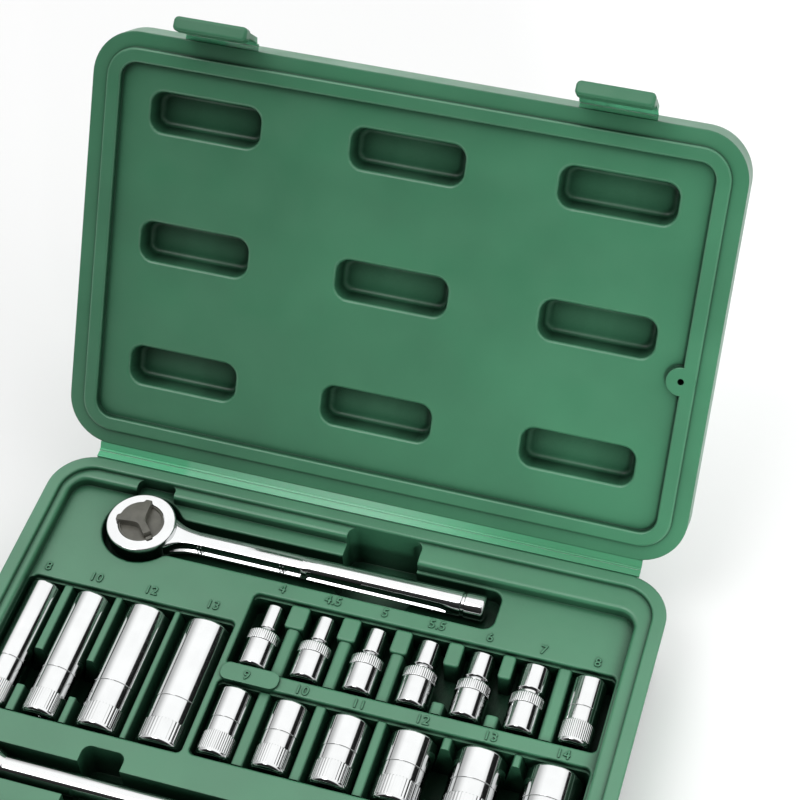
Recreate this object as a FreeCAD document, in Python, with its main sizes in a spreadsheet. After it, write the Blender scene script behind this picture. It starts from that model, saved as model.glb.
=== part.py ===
"""Socket wrench set in a hinged carry case.

Millimetres, +Z up. The origin lies under the middle of the case base, +X runs along the hinge
to the right and +Y points to the hinge. The lid stands open at lid_open_angle.
"""
import FreeCAD, Part
import math
import os
import re

import Sketcher

SIZES = {
    # Case outline
    "case_width": 228.0,
    "case_depth": 151.2,
    "case_corner": 16.5,
    "base_height": 36.0,
    "base_draft": 6.0,
    "base_edge_round": 4.0,
    "lid_height": 15.0,
    "lid_edge_round": 5.0,
    "lid_open_angle": 121.4,
    # Rim, ledge and tray floor of the base
    "rim_width": 5.0,
    "ledge_drop": 1.8,
    "ledge_left": 3.0,
    "ledge_right": 5.3,
    "ledge_front": 5.0,
    "ledge_back": 4.4,
    "ledge_back_wide": 8.9,
    "tray_drop": 6.0,
    "tray_corner": 6.0,
    "well_corner": 2.0,
    "soft_edge": 0.8,
    "ledge_round": 1.6,
    # Lid inside
    "lip_gap": 0.4,
    "lip_width": 5.1,
    "lip_height": 1.4,
    "panel_drop": 1.5,
    "slot_length": 40.5,
    "slot_width": 14.4,
    "slot_depth": 8.5,
    "slot_corner": 5.0,
    "slot_draft": 8.0,
    "slot_side_gap": 21.25,
    "slot_end_gap": 22.1,
    "slot_shift": 2.5,
    "slot_floor_round": 2.0,
    "slot_mouth_round": 1.2,
    "boss_radius": 5.0,
    "boss_hole_radius": 1.1,
    "boss_hole_depth": 4.0,
    "boss_offset": 5.6,
    "boss_from_middle": 9.0,
    # Living hinge
    "hinge_gap": 3.06,
    "film_inset": 13.0,
    "film_thickness": 0.9,
    "film_below_axis": 0.15,
    "film_end_gap": 0.2,
    "film_fold_gap": 0.05,
    # Latches
    "latch_inset": 45.5,
    "latch_width": 26.0,
    "latch_axis_out": 1.9,
    "latch_axis_drop": 1.0,
    "web_thickness": 0.8,
    "web_fold_gap": 0.05,
    "flap_reach": 15.0,
    "flap_back": 2.2,
    "flap_channel": 0.3,
    "flap_slope": 1.2,
    "lip_back": 3.4,
    "lip_corner": 1.7,
    "lip_round": 1.0,
    "hook_reach": 4.0,
    "hook_gap": 0.3,
    "keeper_length": 20.8,
    "keeper_height": 2.5,
    "keeper_corner": 0.6,
    "keeper_root": 3.0,
    "latch_left_angle": 72.0,
    "latch_right_angle": 66.0,
    # Tool pockets
    "pocket_gap": 0.3,
    "pocket_end_gap": 1.4,
    "well_drop": 2.0,
    "well_margin": 1.2,
    "well_nose_gap": 2.4,
    "well_drive_gap": 1.6,
    "pit_inset": 0.8,
    "nose_gap": 2.2,
    "nose_block_length": 8.0,
    "nose_block_drop": 0.6,
    "nose_block_round": 1.2,
    "ridge_drop": 1.4,
    "ridge_lean": 12.0,
    "ridge_end_gap": 0.05,
    "ridge_stub": 4.5,
    "ridge_round": 1.5,
    "row_two_round": 1.0,
    "deep_round": 0.8,
    "saddle_half": 2.8,
    "trough_width": 15.0,
    "trough_corner": 3.0,
    "deep_trough_from_nose": 33.0,
    "head_floor_gap": 0.3,
    "drive_well_gap": 0.5,
    "tool_proud": 1.5,
    "trough_depth": 23.0,
    # Sockets
    "square_drive": 6.35,
    "square_hole": 6.55,
    "square_hole_depth": 9.5,
    "hex_slack": 0.1,
    "socket_bore": 3.4,
    "socket_length": 26.3,
    "deep_length": 50.0,
    "small_body": 11.8,
    "small_collar": 12.4,
    "small_nose_length": 10.0,
    "small_neck_length": 1.3,
    "small_neck_cut": 0.5,
    "small_neck_slope": 0.4,
    "nose_chamfer": 0.3,
    "collar_length": 4.4,
    "collar_slope": 0.2,
    "socket_chamfer": 0.7,
    "step_depth": 0.25,
    "step_at": 0.46,
    "deep_step_at": 0.64,
    "grip_band": 8.0,
    "hex_share": 0.48,
    "across_4": 4.0,
    "across_4_5": 4.5,
    "across_5": 5.0,
    "across_5_5": 5.5,
    "across_6": 6.0,
    "across_7": 7.0,
    "across_8": 8.0,
    "across_9": 9.0,
    "across_10": 10.0,
    "across_11": 11.0,
    "across_12": 12.0,
    "across_13": 13.0,
    "across_14": 14.0,
    "outer_4": 7.2,
    "outer_4_5": 7.6,
    "outer_5": 8.0,
    "outer_5_5": 8.5,
    "outer_6": 9.2,
    "outer_7": 10.3,
    "outer_8": 11.8,
    "outer_9": 12.8,
    "outer_10": 13.8,
    "outer_11": 15.2,
    "outer_12": 16.6,
    "outer_13": 17.8,
    "outer_14": 19.4,
    # Spacing of the rows
    "row_one_end_gap": 1.9,
    "row_one_last_gap": 9.5,
    "row_one_gap": 9.1,
    "row_two_end_gap": 0.7,
    "row_two_last_gap": 2.8,
    "row_spacing": 10.0,
    "deep_row_side_gap": 0.5,
    "deep_row_gap": 5.3,
    "deep_row_offset": 0.7,
    "deep_well_end_gap": 0.8,
    "well_wall": 2.4,
    "island_width": 20.6,
    "island_overlap": 0.4,
    "island_corner": 2.8,
    "island_rise": 1.0,
    # Ratchet wrench
    "ratchet_from_left": 31.1,
    "ratchet_back_gap": 8.8,
    "ratchet_reach": 127.4,
    "ratchet_proud": 4.0,
    "head_radius": 12.5,
    "head_height": 10.5,
    "head_chamfer": 0.9,
    "head_seat_gap": 1.9,
    "handle_height": 5.3,
    "neck_end_width": 7.4,
    "neck_length": 27.0,
    "neck_overlap": 1.5,
    "neck_flare": 34.0,
    "neck_thickness": 7.0,
    "shank_radius": 3.7,
    "shank_end": 71.0,
    "shank_overlap": 2.0,
    "grip_radius": 4.1,
    "grip_end_radius": 4.5,
    "grip_taper": 2.0,
    "knob_length": 5.2,
    "knob_groove": 0.5,
    "knob_groove_width": 0.8,
    "knob_slope": 0.5,
    "knob_rise": 0.1,
    "knob_chamfer": 0.8,
    "panel_length": 36.0,
    "panel_width": 4.0,
    "panel_corner": 1.7,
    "panel_depth": 0.6,
    "channel_reach": 8.5,
    "channel_gap": 4.5,
    "seat_blend": 4.0,
    "channel_corner": 4.0,
    "notch_from_head": 72.9,
    "notch_width": 27.3,
    "notch_depth": 22.0,
    "head_notch_width": 14.2,
    "drive_well_radius": 8.4,
    # Ratchet inside
    "tooth_count": 36,
    "tooth_tip_radius": 8.5,
    "tooth_depth": 0.7,
    "tooth_width": 1.2,
    "tooth_overlap": 0.1,
    "tooth_angle": 35.0,
    "ring_radius": 9.7,
    "ring_thickness": 0.8,
    "ring_bore": 5.7,
    "ring_gap": 0.05,
    "cavity_top": 7.6,
    "anvil_radius": 8.2,
    "anvil_top": 7.4,
    "anvil_collar_radius": 5.4,
    "anvil_step": 0.6,
    "square_length": 9.5,
    "dial_radius": 8.1,
    "dial_gap": 0.2,
    "dial_seat": 8.6,
    "dial_thickness": 2.3,
    "dial_edge": 0.3,
    "dial_rise": 1.2,
    "dial_tab_reach": 9.0,
    "dial_tab_half": 9.0,
    "dial_fan_from": 57.0,
    "dial_fan_to": 151.0,
    "dial_fan_radius": 7.9,
    "dial_thumb": 277.0,
    "dial_waist": 3.0,
    "dial_waist_side": 4.4,
    "dial_waist_turn": 26.0,
    "dial_turn": 35.0,
    "stem_radius": 2.4,
    "stem_bottom": 2.6,
    "stem_room": 1.5,
    "running_gap": 0.05,
    "plunger_radius": 0.7,
    "plunger_length": 1.6,
    "plunger_proud": 0.7,
    "plunger_height": 4.2,
    "plunger_spring_length": 1.4,
    "pawl_pin_radius": 0.9,
    "pawl_pin_x": 4.6,
    "pawl_pin_root": 0.6,
    "pawl_bottom": 1.8,
    "pawl_top": 6.4,
    "pawl_end_gap": 0.2,
    "pawl_swing": 11.0,
    "pawl_arm": 5.71,
    "pawl_tip_angle": 73.2,
    "pawl_back": 1.0,
    "pawl_back_half": 1.6,
    "pawl_front": 1.9,
    "pawl_front_half": 1.4,
    "toe_aim": 226.0,
    "toe_spread": 33.0,
    "toe_length": 1.6,
    "pawl_pocket_back": 1.2,
    "pawl_pocket_half": 6.9,
    "pawl_pocket_reach": 9.2,
    "ball_radius": 1.1,
    "ball_proud": 0.45,
    "ball_from_end": 3.8,
    "ball_spring_room": 2.2,
    "spring_share": 0.8,
    "spring_end_gap": 0.05,
    # Extension bars
    "long_length": 100.0,
    "short_length": 50.0,
    "bar_socket_radius": 6.1,
    "bar_socket_length": 15.0,
    "bar_taper": 4.0,
    "bar_shank_radius": 4.0,
    "bar_collar_radius": 5.0,
    "bar_collar_length": 2.4,
    "bar_collar_slope": 1.0,
    "bar_square_length": 8.0,
    "bar_shift": 1.55,
    "bar_side_gap": 3.0,
    "bar_spacing": 9.0,
    "bar_trough_front_gap": 4.6,
    "bar_trough_back_gap": 7.7,
}

SMALL_SOCKETS = ["4", "4_5", "5", "5_5", "6", "7"]
ROW_ONE = SMALL_SOCKETS + ["8"]
ROW_TWO = ["9", "10", "11", "12", "13", "14"]
DEEP_ROW = ["8", "10", "12", "13"]
EXTENSIONS = [("long", "long_x", "long_length"), ("short", "short_x", "short_length")]

# Heights and lines that several pieces share, as formulas of the sizes
LEDGE_TOP = "(base_height - ledge_drop)"
TRAY_TOP = "(base_height - tray_drop)"
WELL_TOP = "(base_height - tray_drop - well_drop)"
TOOL_TOP = "(base_height - tray_drop + tool_proud)"
INNER_LEFT = "(-case_width / 2 + rim_width + ledge_left)"
INNER_RIGHT = "(case_width / 2 - rim_width - ledge_right)"
INNER_FRONT = "(-case_depth / 2 + rim_width + ledge_front)"
INNER_BACK = "(case_depth / 2 - rim_width - ledge_back)"
INNER_BACK_WIDE = "(case_depth / 2 - rim_width - ledge_back_wide)"
RIM_BACK = "(case_depth / 2 - rim_width)"
HINGE_Y = "(case_depth / 2 + hinge_gap)"
HEAD_BOTTOM = "(base_height - tray_drop + ratchet_proud - head_height)"
BALL_SPRING_LENGTH = "(ball_spring_room - ball_proud - 2 * spring_end_gap)"
LATCH_AXIS_Y = "(hinge_gap + case_depth + latch_axis_out)"

# Places and spans that follow from the sizes, kept in the spreadsheet beside them to the micrometre
PLACE_FORMULA = "round((%s) * 1000) / 1000"
FOLLOWERS = {
    "film_length": "case_width - 2 * film_inset",
    "latch_spacing": "case_width - 2 * latch_inset",
    "slot_column_pitch": "case_width / 2 - slot_side_gap - slot_length / 2",
    "slot_row_pitch": "case_depth / 2 - slot_end_gap - slot_width / 2",
    "ratchet_x": INNER_LEFT + " + ratchet_from_left",
    "ratchet_y": INNER_BACK_WIDE + " - ratchet_back_gap",
    "channel_front": "ratchet_y - channel_reach",
    "notch_left": "ratchet_x + notch_from_head",
    "notch_right": "notch_left + notch_width",
    "row_one_nose": "channel_front - row_one_gap",
    "row_two_nose": "row_one_nose - socket_length - row_spacing",
    "row_two_end": "row_two_nose - socket_length",
    "deep_row_nose": "row_two_end - deep_row_offset + deep_length",
    "deep_row_start": INNER_LEFT + " + deep_row_side_gap + outer_8 / 2",
    "deep_row_width": "outer_8 + outer_10 + outer_12 + outer_13 + 3 * deep_row_gap",
    "deep_well_right": "deep_row_start - outer_8 / 2 + deep_row_width + deep_well_end_gap",
    "row_well_left": "deep_well_right + well_wall",
    "row_one_start": "row_well_left + row_one_end_gap + small_collar / 2",
    "row_two_start": "row_well_left + row_two_end_gap + outer_9 / 2",
    "row_one_pitch": "(" + INNER_RIGHT + " - row_one_last_gap - row_one_start) / 6",
    "row_two_width": "outer_9 + outer_10 + outer_11 + outer_12 + outer_13 + outer_14",
    "row_two_room": INNER_RIGHT + " - row_two_last_gap - row_two_start + outer_9 / 2",
    "row_two_gap": "(row_two_room - row_two_width) / 5",
    "bar_y": "(" + INNER_FRONT + " + row_two_end) / 2 - bar_shift",
    "bar_trough_front": INNER_FRONT + " + bar_trough_front_gap",
    "bar_trough_back": "row_two_end - bar_trough_back_gap",
    "long_x": INNER_LEFT + " + bar_side_gap",
    "short_x": "long_x + long_length + bar_spacing",
    "trough_floor": "base_height - trough_depth",
}

START = 1
END = 2
CENTRE = 3
ROOT = -1
H_AXIS = -1
V_AXIS = -2
SAME = 0.01
X_WAY = FreeCAD.Vector(1, 0, 0)
Z_WAY = FreeCAD.Vector(0, 0, 1)
WORD = re.compile(r"[a-z][a-z0-9_]*")

doc = FreeCAD.newDocument("SocketSet")
sheet = doc.addObject("Spreadsheet::Sheet", "Sizes")
made = []


def fill_sheet():
    """Write every driving size and what follows from it into the spreadsheet, each under its own alias."""
    cells = {name: str(number) for name, number in SIZES.items()}
    cells.update({name: "=" + PLACE_FORMULA % formula for name, formula in FOLLOWERS.items()})
    for row, name in enumerate(cells, start=1):
        sheet.set("A%d" % row, name)
        sheet.setAlias("B%d" % row, name)
    for row, content in enumerate(cells.values(), start=1):
        sheet.set("B%d" % row, content)
    doc.recompute()


def sized(text):
    """Turn a formula of size names into an expression of the spreadsheet."""
    def named(found):
        return "Sizes." + found[0] if found[0] in SIZES or found[0] in FOLLOWERS else found[0]
    return WORD.sub(named, text)


def value(text):
    """Work out a formula of size names as a number."""
    return float(sheet.evalExpression(sized(text)))


def bind(thing, prop, text):
    """Bind one property of an object to a formula of the sizes."""
    thing.setExpression(prop, sized(text))


def new_body(label):
    """Start a sub-part."""
    body = doc.addObject("PartDesign::Body", label)
    body.Label = label
    made.append(body)
    return body


def place(thing, x="0", y="0", z="0", way=X_WAY, turn=None):
    """Bind an object's place, and its turn about one direction, to the sizes."""
    if turn is not None:
        thing.Placement = FreeCAD.Placement(FreeCAD.Vector(), FreeCAD.Rotation(way, value(turn)))
        bind(thing, "Placement.Rotation.Angle", turn)
    for axis, text in zip("xyz", (x, y, z)):
        bind(thing, "Placement.Base." + axis, text)


def on_lid(thing, x="0", y="0", z="0"):
    """Place an object by its spot on the opened-flat lid, then swing it up about the hinge."""
    swing = "180 - lid_open_angle"
    across = "(%s) * cos(%s) - (%s) * sin(%s)" % (y, swing, z, swing)
    height = "(%s) * sin(%s) + (%s) * cos(%s)" % (y, swing, z, swing)
    place(thing, x, HINGE_Y + " + " + across, "base_height + " + height, X_WAY, swing)


def new_sketch(body, name, plane="XY_Plane", offset="0"):
    """Start a sketch on one of the body's own planes, moved along its normal."""
    sketch = body.newObject("Sketcher::SketchObject", name)
    support = [part for part in body.Origin.OriginFeatures if part.Role == plane][0]
    sketch.AttachmentSupport = [(support, "")]
    sketch.MapMode = "FlatFace"
    bind(sketch, "AttachmentOffset.Base.z", offset)
    return sketch


def hold(sketch, way, geometry, point, text):
    """Fix one coordinate of a sketch point by a formula."""
    if text == "0":
        axis = V_AXIS if way == "X" else H_AXIS
        sketch.addConstraint(Sketcher.Constraint("PointOnObject", geometry, point, axis))
        return
    rule = Sketcher.Constraint("Distance" + way, ROOT, START, geometry, point, value(text))
    number = sketch.addConstraint(rule)
    bind(sketch, "Constraints[%d]" % number, text)


def hold_radius(sketch, geometry, text):
    """Fix the radius of a sketch arc or circle by a formula."""
    number = sketch.addConstraint(Sketcher.Constraint("Radius", geometry, value(text)))
    bind(sketch, "Constraints[%d]" % number, text)


def polygon(sketch, points):
    """Draw a closed outline of straight lines through points given as formulas."""
    spots = [FreeCAD.Vector(value(x), value(y), 0) for x, y in points]
    first = sketch.GeometryCount
    count = len(points)
    for index in range(count):
        sketch.addGeometry(Part.LineSegment(spots[index], spots[(index + 1) % count]))
    for index in range(count):
        following = first + (index + 1) % count
        sketch.addConstraint(Sketcher.Constraint("Coincident", first + index, END, following, START))
    for index, (x, y) in enumerate(points):
        hold(sketch, "X", first + index, START, x)
        hold(sketch, "Y", first + index, START, y)


def polar(radius, angle):
    """Give a sketch point by its distance from the origin and its angle."""
    return "(%s) * cos(%s)" % (radius, angle), "(%s) * sin(%s)" % (radius, angle)


def circle(sketch, x, y, radius):
    """Draw a circle held by its centre and radius."""
    shape = Part.Circle(FreeCAD.Vector(value(x), value(y), 0), Z_WAY, value(radius))
    number = sketch.addGeometry(shape)
    hold(sketch, "X", number, CENTRE, x)
    hold(sketch, "Y", number, CENTRE, y)
    hold_radius(sketch, number, radius)


def rounded_rectangle(sketch, left, right, front, back, radius):
    """Draw a rectangle with round corners, held by its four sides and one radius."""
    x0, x1, y0, y1, r = [value(text) for text in (left, right, front, back, radius)]
    first = sketch.GeometryCount
    centres = [(x1 - r, y0 + r), (x1 - r, y1 - r), (x0 + r, y1 - r), (x0 + r, y0 + r)]
    arcs = []
    for index, (x, y) in enumerate(centres):
        whole = Part.Circle(FreeCAD.Vector(x, y, 0), Z_WAY, r)
        begin = math.radians(90 * index - 90)
        arcs.append(Part.ArcOfCircle(whole, begin, begin + math.pi / 2))
        sketch.addGeometry(arcs[-1])
    for index in range(4):
        sketch.addGeometry(Part.LineSegment(arcs[index].EndPoint, arcs[(index + 1) % 4].StartPoint))
    for index in range(4):
        side = first + 4 + index
        following = first + (index + 1) % 4
        sketch.addConstraint(Sketcher.Constraint("Tangent", first + index, END, side, START))
        sketch.addConstraint(Sketcher.Constraint("Tangent", side, END, following, START))
        sketch.addConstraint(Sketcher.Constraint("Horizontal" if index % 2 else "Vertical", side))
    for index in range(1, 4):
        sketch.addConstraint(Sketcher.Constraint("Equal", first, first + index))
    hold_radius(sketch, first, radius)
    for index, (way, text) in enumerate([("X", right), ("Y", back), ("X", left), ("Y", front)]):
        hold(sketch, way, first + 4 + index, START, text)


def draw_square(sketch, half):
    """Draw a square about the sketch's origin, held by half its side."""
    polygon(sketch, [("-" + half, "-" + half), (half, "-" + half), (half, half), ("-" + half, half)])


def pad(body, sketch, length, backwards=False):
    """Raise a solid from a sketch."""
    feature = body.newObject("PartDesign::Pad", "Pad")
    feature.Profile = sketch
    feature.Reversed = backwards
    feature.Refine = False
    bind(feature, "Length", length)
    return feature


def pocket(body, sketch, depth, backwards=False):
    """Cut a sketch into the body, against the sketch's normal unless backwards."""
    feature = body.newObject("PartDesign::Pocket", "Pocket")
    feature.Profile = sketch
    feature.Reversed = backwards
    feature.Refine = False
    bind(feature, "Length", depth)
    return feature


def revolve(body, sketch, axis="V_Axis"):
    """Turn a sketch once round one of its own axes."""
    feature = body.newObject("PartDesign::Revolution", "Revolution")
    feature.Profile = sketch
    feature.ReferenceAxis = (sketch, [axis])
    feature.Angle = 360
    return feature


def round_edges(body, chosen, radius):
    """Round every edge of the body that passes the test, after merging split faces."""
    body.Tip.Refine = True
    doc.recompute()
    base = body.Tip
    shape = base.Shape
    names = ["Edge%d" % (index + 1) for index, edge in enumerate(shape.Edges) if chosen(shape, edge)]
    feature = body.newObject("PartDesign::Fillet", "Fillet")
    feature.Base = (base, names)
    bind(feature, "Radius", radius)


def flat_at(thing, height):
    """Tell whether an edge or a face lies level at the given height."""
    box = thing.BoundBox
    return abs(box.ZMin - height) < SAME and abs(box.ZMax - height) < SAME


def brink_at(text):
    """Make a test for edges where a level face drops away into a pocket or down a side."""
    height = value(text)

    def chosen(shape, edge):
        if not flat_at(edge, height):
            return False
        faces = shape.ancestorsOfType(edge, Part.Face)
        level = [face for face in faces if flat_at(face, height)]
        falling = [face for face in faces if face.BoundBox.ZMin < height - SAME]
        rising = [face for face in faces if face.BoundBox.ZMax > height + SAME]
        return len(level) == 1 and len(falling) == 1 and not rising
    return chosen


def sink(body, name, rectangles, floor, radius):
    """Cut pockets with round corners, each given by its sides, from the rim down to one height."""
    sketch = new_sketch(body, name, "XY_Plane", "base_height")
    for left, right, front, back in rectangles:
        rounded_rectangle(sketch, left, right, front, back, radius)
    pocket(body, sketch, "base_height - (%s)" % floor)


def socket_rows():
    """List the sockets of each of the three rows."""
    return [[socket for socket in socket_places() if socket[4] == nose]
            for nose in ("row_one_nose", "row_two_nose", "deep_row_nose")]


def socket_places():
    """List every socket with its size key, length, axis place, nose line and widest radius."""
    places = []
    for index, key in enumerate(ROW_ONE):
        across = "row_one_start + %d * row_one_pitch" % index
        widest = "small_collar / 2" if key in SMALL_SOCKETS else "outer_%s / 2" % key
        places.append(("socket_" + key, key, "socket_length", across, "row_one_nose", widest))
    rows = [("socket_", ROW_TWO, "socket_length", "row_two_start", "row_two_gap", "row_two_nose")]
    rows.append(("deep_socket_", DEEP_ROW, "deep_length", "deep_row_start", "deep_row_gap", "deep_row_nose"))
    for prefix, keys, length, start, gap, nose in rows:
        across = start
        for index, key in enumerate(keys):
            if index:
                across += " + outer_%s / 2 + %s + outer_%s / 2" % (keys[index - 1], gap, key)
            places.append((prefix + key, key, length, across, nose, "outer_%s / 2" % key))
    return places


def socket_axis_height(widest):
    """Give the height of a lying socket's axis, so that all tops are level."""
    return TOOL_TOP + " - " + widest


def make_base():
    """Mould the tray half of the case."""
    body = new_body("case_base")
    sketch = new_sketch(body, "base_outline", "XY_Plane", "base_height")
    half_x = "case_width / 2"
    half_y = "case_depth / 2"
    rounded_rectangle(sketch, "-" + half_x, half_x, "-" + half_y, half_y, "case_corner")
    block = pad(body, sketch, "base_height", backwards=True)
    bind(block, "TaperAngle", "-base_draft")
    round_edges(body, lambda shape, edge: flat_at(edge, 0), "base_edge_round")

    ledge_x = half_x + " - rim_width"
    ledge_y = half_y + " - rim_width"
    ledge = ("-(%s)" % ledge_x, ledge_x, "-(%s)" % ledge_y, ledge_y)
    sink(body, "ledge", [ledge], LEDGE_TOP, "case_corner - rim_width")
    round_edges(body, brink_at("base_height"), "soft_edge")
    sink(body, "tray", [(INNER_LEFT, INNER_RIGHT, INNER_FRONT, INNER_BACK_WIDE)], TRAY_TOP, "tray_corner")
    sink(body, "shelf", [(INNER_LEFT, "notch_right", INNER_FRONT, INNER_BACK)], TRAY_TOP, "tray_corner")
    round_edges(body, brink_at(LEDGE_TOP), "ledge_round")
    sink_wells(body)
    round_edges(body, brink_at(TRAY_TOP), "soft_edge")
    sink_pits(body)
    sink_extension_beds(body)
    sink_finger_room(body)
    add_number_island(body)
    add_keepers(body)


def sink_wells(body):
    """Sink the ratchet's head seat and handle channel and the three shallow socket wells."""
    notch_sides = ("ratchet_x - head_notch_width / 2", "ratchet_x + head_notch_width / 2")
    sink(body, "head_notch", [(*notch_sides, "ratchet_y", RIM_BACK)], TRAY_TOP, "well_corner")
    seat_floor = HEAD_BOTTOM + " - head_floor_gap"
    seat = new_sketch(body, "head_seat", "XY_Plane", "base_height")
    circle(seat, "ratchet_x", "ratchet_y", "head_radius + head_seat_gap")
    pocket(body, seat, "base_height - (%s)" % seat_floor)
    channel_end = "ratchet_x + ratchet_reach + channel_gap"
    channel = ("ratchet_x", channel_end, "channel_front", INNER_BACK_WIDE + " - well_margin")
    sink(body, "channel", [channel], seat_floor, "channel_corner")
    round_edges(body, where_channel_meets_seat, "seat_blend")
    right = INNER_RIGHT + " - well_margin"
    left = INNER_LEFT + " + well_margin"
    wells = [
        ("row_well_left", right, "row_one_nose", "socket_length"),
        ("row_well_left", right, "row_two_nose", "socket_length"),
        (left, "deep_well_right", "deep_row_nose", "deep_length"),
    ]
    sides = []
    for west, east, nose, length in wells:
        sides.append((west, east, "%s - %s - well_drive_gap" % (nose, length), "%s + well_nose_gap" % nose))
    sink(body, "socket_wells", sides, WELL_TOP, "well_corner")


def where_channel_meets_seat(shape, edge):
    """Choose the upright edges where the handle's channel leaves the round head seat."""
    box = edge.BoundBox
    reach = math.hypot(box.Center.x - value("ratchet_x"), box.Center.y - value("ratchet_y"))
    upright = box.XLength < SAME and box.YLength < SAME
    return upright and abs(reach - value("head_radius + head_seat_gap")) < SAME


def row_pits():
    """List the three pits under the socket wells: left, right, front, back and floor."""
    right = INNER_RIGHT + " - well_margin"
    deep_left = "deep_row_start - outer_8 / 2 - pocket_gap"
    rows = [
        ("row_well_left", right, "row_one_nose", "socket_length", "small_collar"),
        ("row_well_left", right, "row_two_nose", "socket_length", "outer_14"),
        (deep_left, "deep_well_right", "deep_row_nose", "deep_length", "outer_13"),
    ]
    pits = []
    for west, east, nose, length, widest in rows:
        front = "(%s - %s - well_drive_gap + pit_inset)" % (nose, length)
        back = "(%s + well_nose_gap - pit_inset)" % nose
        pits.append((west, east, front, back, "(%s - %s - pocket_gap)" % (TOOL_TOP, widest)))
    return pits


def sink_pits(body):
    """Sink a pit with a level floor for each row of sockets."""
    for index, (west, east, front, back, floor) in enumerate(row_pits()):
        sink(body, "pit_%d" % index, [(west, east, front, back)], floor, "well_corner")


def sink_extension_beds(body):
    """Sink the two extension bars' beds along X."""
    half = "(bar_socket_radius + pocket_gap)"
    beds = []
    for name, start, length in EXTENSIONS:
        ends = ("%s - pocket_end_gap" % start, "%s + %s + pocket_end_gap" % (start, length))
        beds.append((*ends, "bar_y - " + half, "bar_y + " + half))
    sink(body, "extension_beds", beds, TOOL_TOP + " - 2 * bar_socket_radius - pocket_gap", "well_corner")


def sink_finger_room(body):
    """Sink the drive's well, the finger notch by the handle and the bars' finger troughs."""
    well = new_sketch(body, "drive_well", "XY_Plane", "base_height")
    circle(well, "ratchet_x", "ratchet_y", "drive_well_radius")
    pocket(body, well, "base_height - (%s - square_length - drive_well_gap)" % HEAD_BOTTOM)
    notch = ("notch_left", "notch_right", "channel_front + well_corner * 2", RIM_BACK)
    sink(body, "finger_notch", [notch], "base_height - notch_depth", "trough_corner")
    half = "trough_width / 2"
    rectangles = []
    for name, start, length in EXTENSIONS:
        middle = "%s + %s / 2" % (start, length)
        sides = ("%s - %s" % (middle, half), "%s + %s" % (middle, half))
        rectangles.append((*sides, "bar_trough_front", "bar_trough_back"))
    sink(body, "troughs", rectangles, "trough_floor", "trough_corner")


def flank(socket, height, side):
    """Give the place across of a ridge's side beside a socket, leaning away from it upwards."""
    name, key, length, across, nose, widest = socket
    rise = "((%s) - (%s))" % (height, socket_axis_height(widest))
    reach = "((%s + pocket_gap + %s * sin(ridge_lean)) / cos(ridge_lean))" % (widest, rise)
    return "%s %s %s" % (across, side, reach)


def make_ridges(label, row, pit, gaps, radius):
    """Make one row's ridges between sockets, each split by a finger gap if it has one."""
    body = new_body(label)
    west, east, front, back, floor = pit
    front += " + ridge_end_gap"
    back += " - ridge_end_gap"
    top = "(%s - ridge_drop)" % TRAY_TOP
    for left, right, spans in zip(row, row[1:], gaps):
        outline = [(flank(left, floor, "+"), floor), (flank(right, floor, "-"), floor),
                   (flank(right, top, "-"), top), (flank(left, top, "+"), top)]
        for begin, end in spans:
            start = begin or front
            sketch = new_sketch(body, "ridge_" + left[0], "XZ_Plane", "-(%s)" % start)
            polygon(sketch, outline)
            pad(body, sketch, "(%s) - (%s)" % (end or back, start), backwards=True)
    round_edges(body, along_row_at(top), radius)
    return body


def along_row_at(text):
    """Make a test for level edges along Y at one height."""
    height = value(text)

    def chosen(shape, edge):
        box = edge.BoundBox
        return flat_at(edge, height) and box.XLength < SAME and box.YLength > SAME
    return chosen


def add_saddles(body, row, pit, largest):
    """Add a level rest under each socket but the largest, which lies on the pit's floor."""
    west, east, front, back, floor = pit
    for name, key, length, across, nose, widest in row:
        if key == largest:
            continue
        rest = "(%s - %s - pocket_gap)" % (socket_axis_height(widest), widest)
        sketch = new_sketch(body, "saddle_" + name, "XY_Plane", floor)
        left, right = across + " - saddle_half", across + " + saddle_half"
        ends = ("%s + ridge_end_gap" % front, "%s - ridge_end_gap" % back)
        polygon(sketch, [(left, ends[0]), (right, ends[0]), (right, ends[1]), (left, ends[1])])
        pad(body, sketch, "%s - %s" % (rest, floor))


def add_nose_blocks(body, row, pit):
    """Add the wide flat blocks between the noses of the small sockets."""
    west, east, front, back, floor = pit
    top = "(%s - nose_block_drop)" % TRAY_TOP
    for left, right in zip(row, row[1:]):
        if right[1] not in SMALL_SOCKETS:
            continue
        sketch = new_sketch(body, "block_" + left[0], "XY_Plane", floor)
        sides = ("%s + outer_%s / 2 + nose_gap" % (left[3], left[1]),
                 "%s - outer_%s / 2 - nose_gap" % (right[3], right[1]))
        ends = ("row_one_nose - nose_block_length", "%s - ridge_end_gap" % back)
        rounded_rectangle(sketch, *sides, *ends, "nose_block_round")
        pad(body, sketch, "%s - %s" % (top, floor))
    round_edges(body, lambda shape, edge: flat_at(edge, value(top)), "soft_edge")


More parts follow.
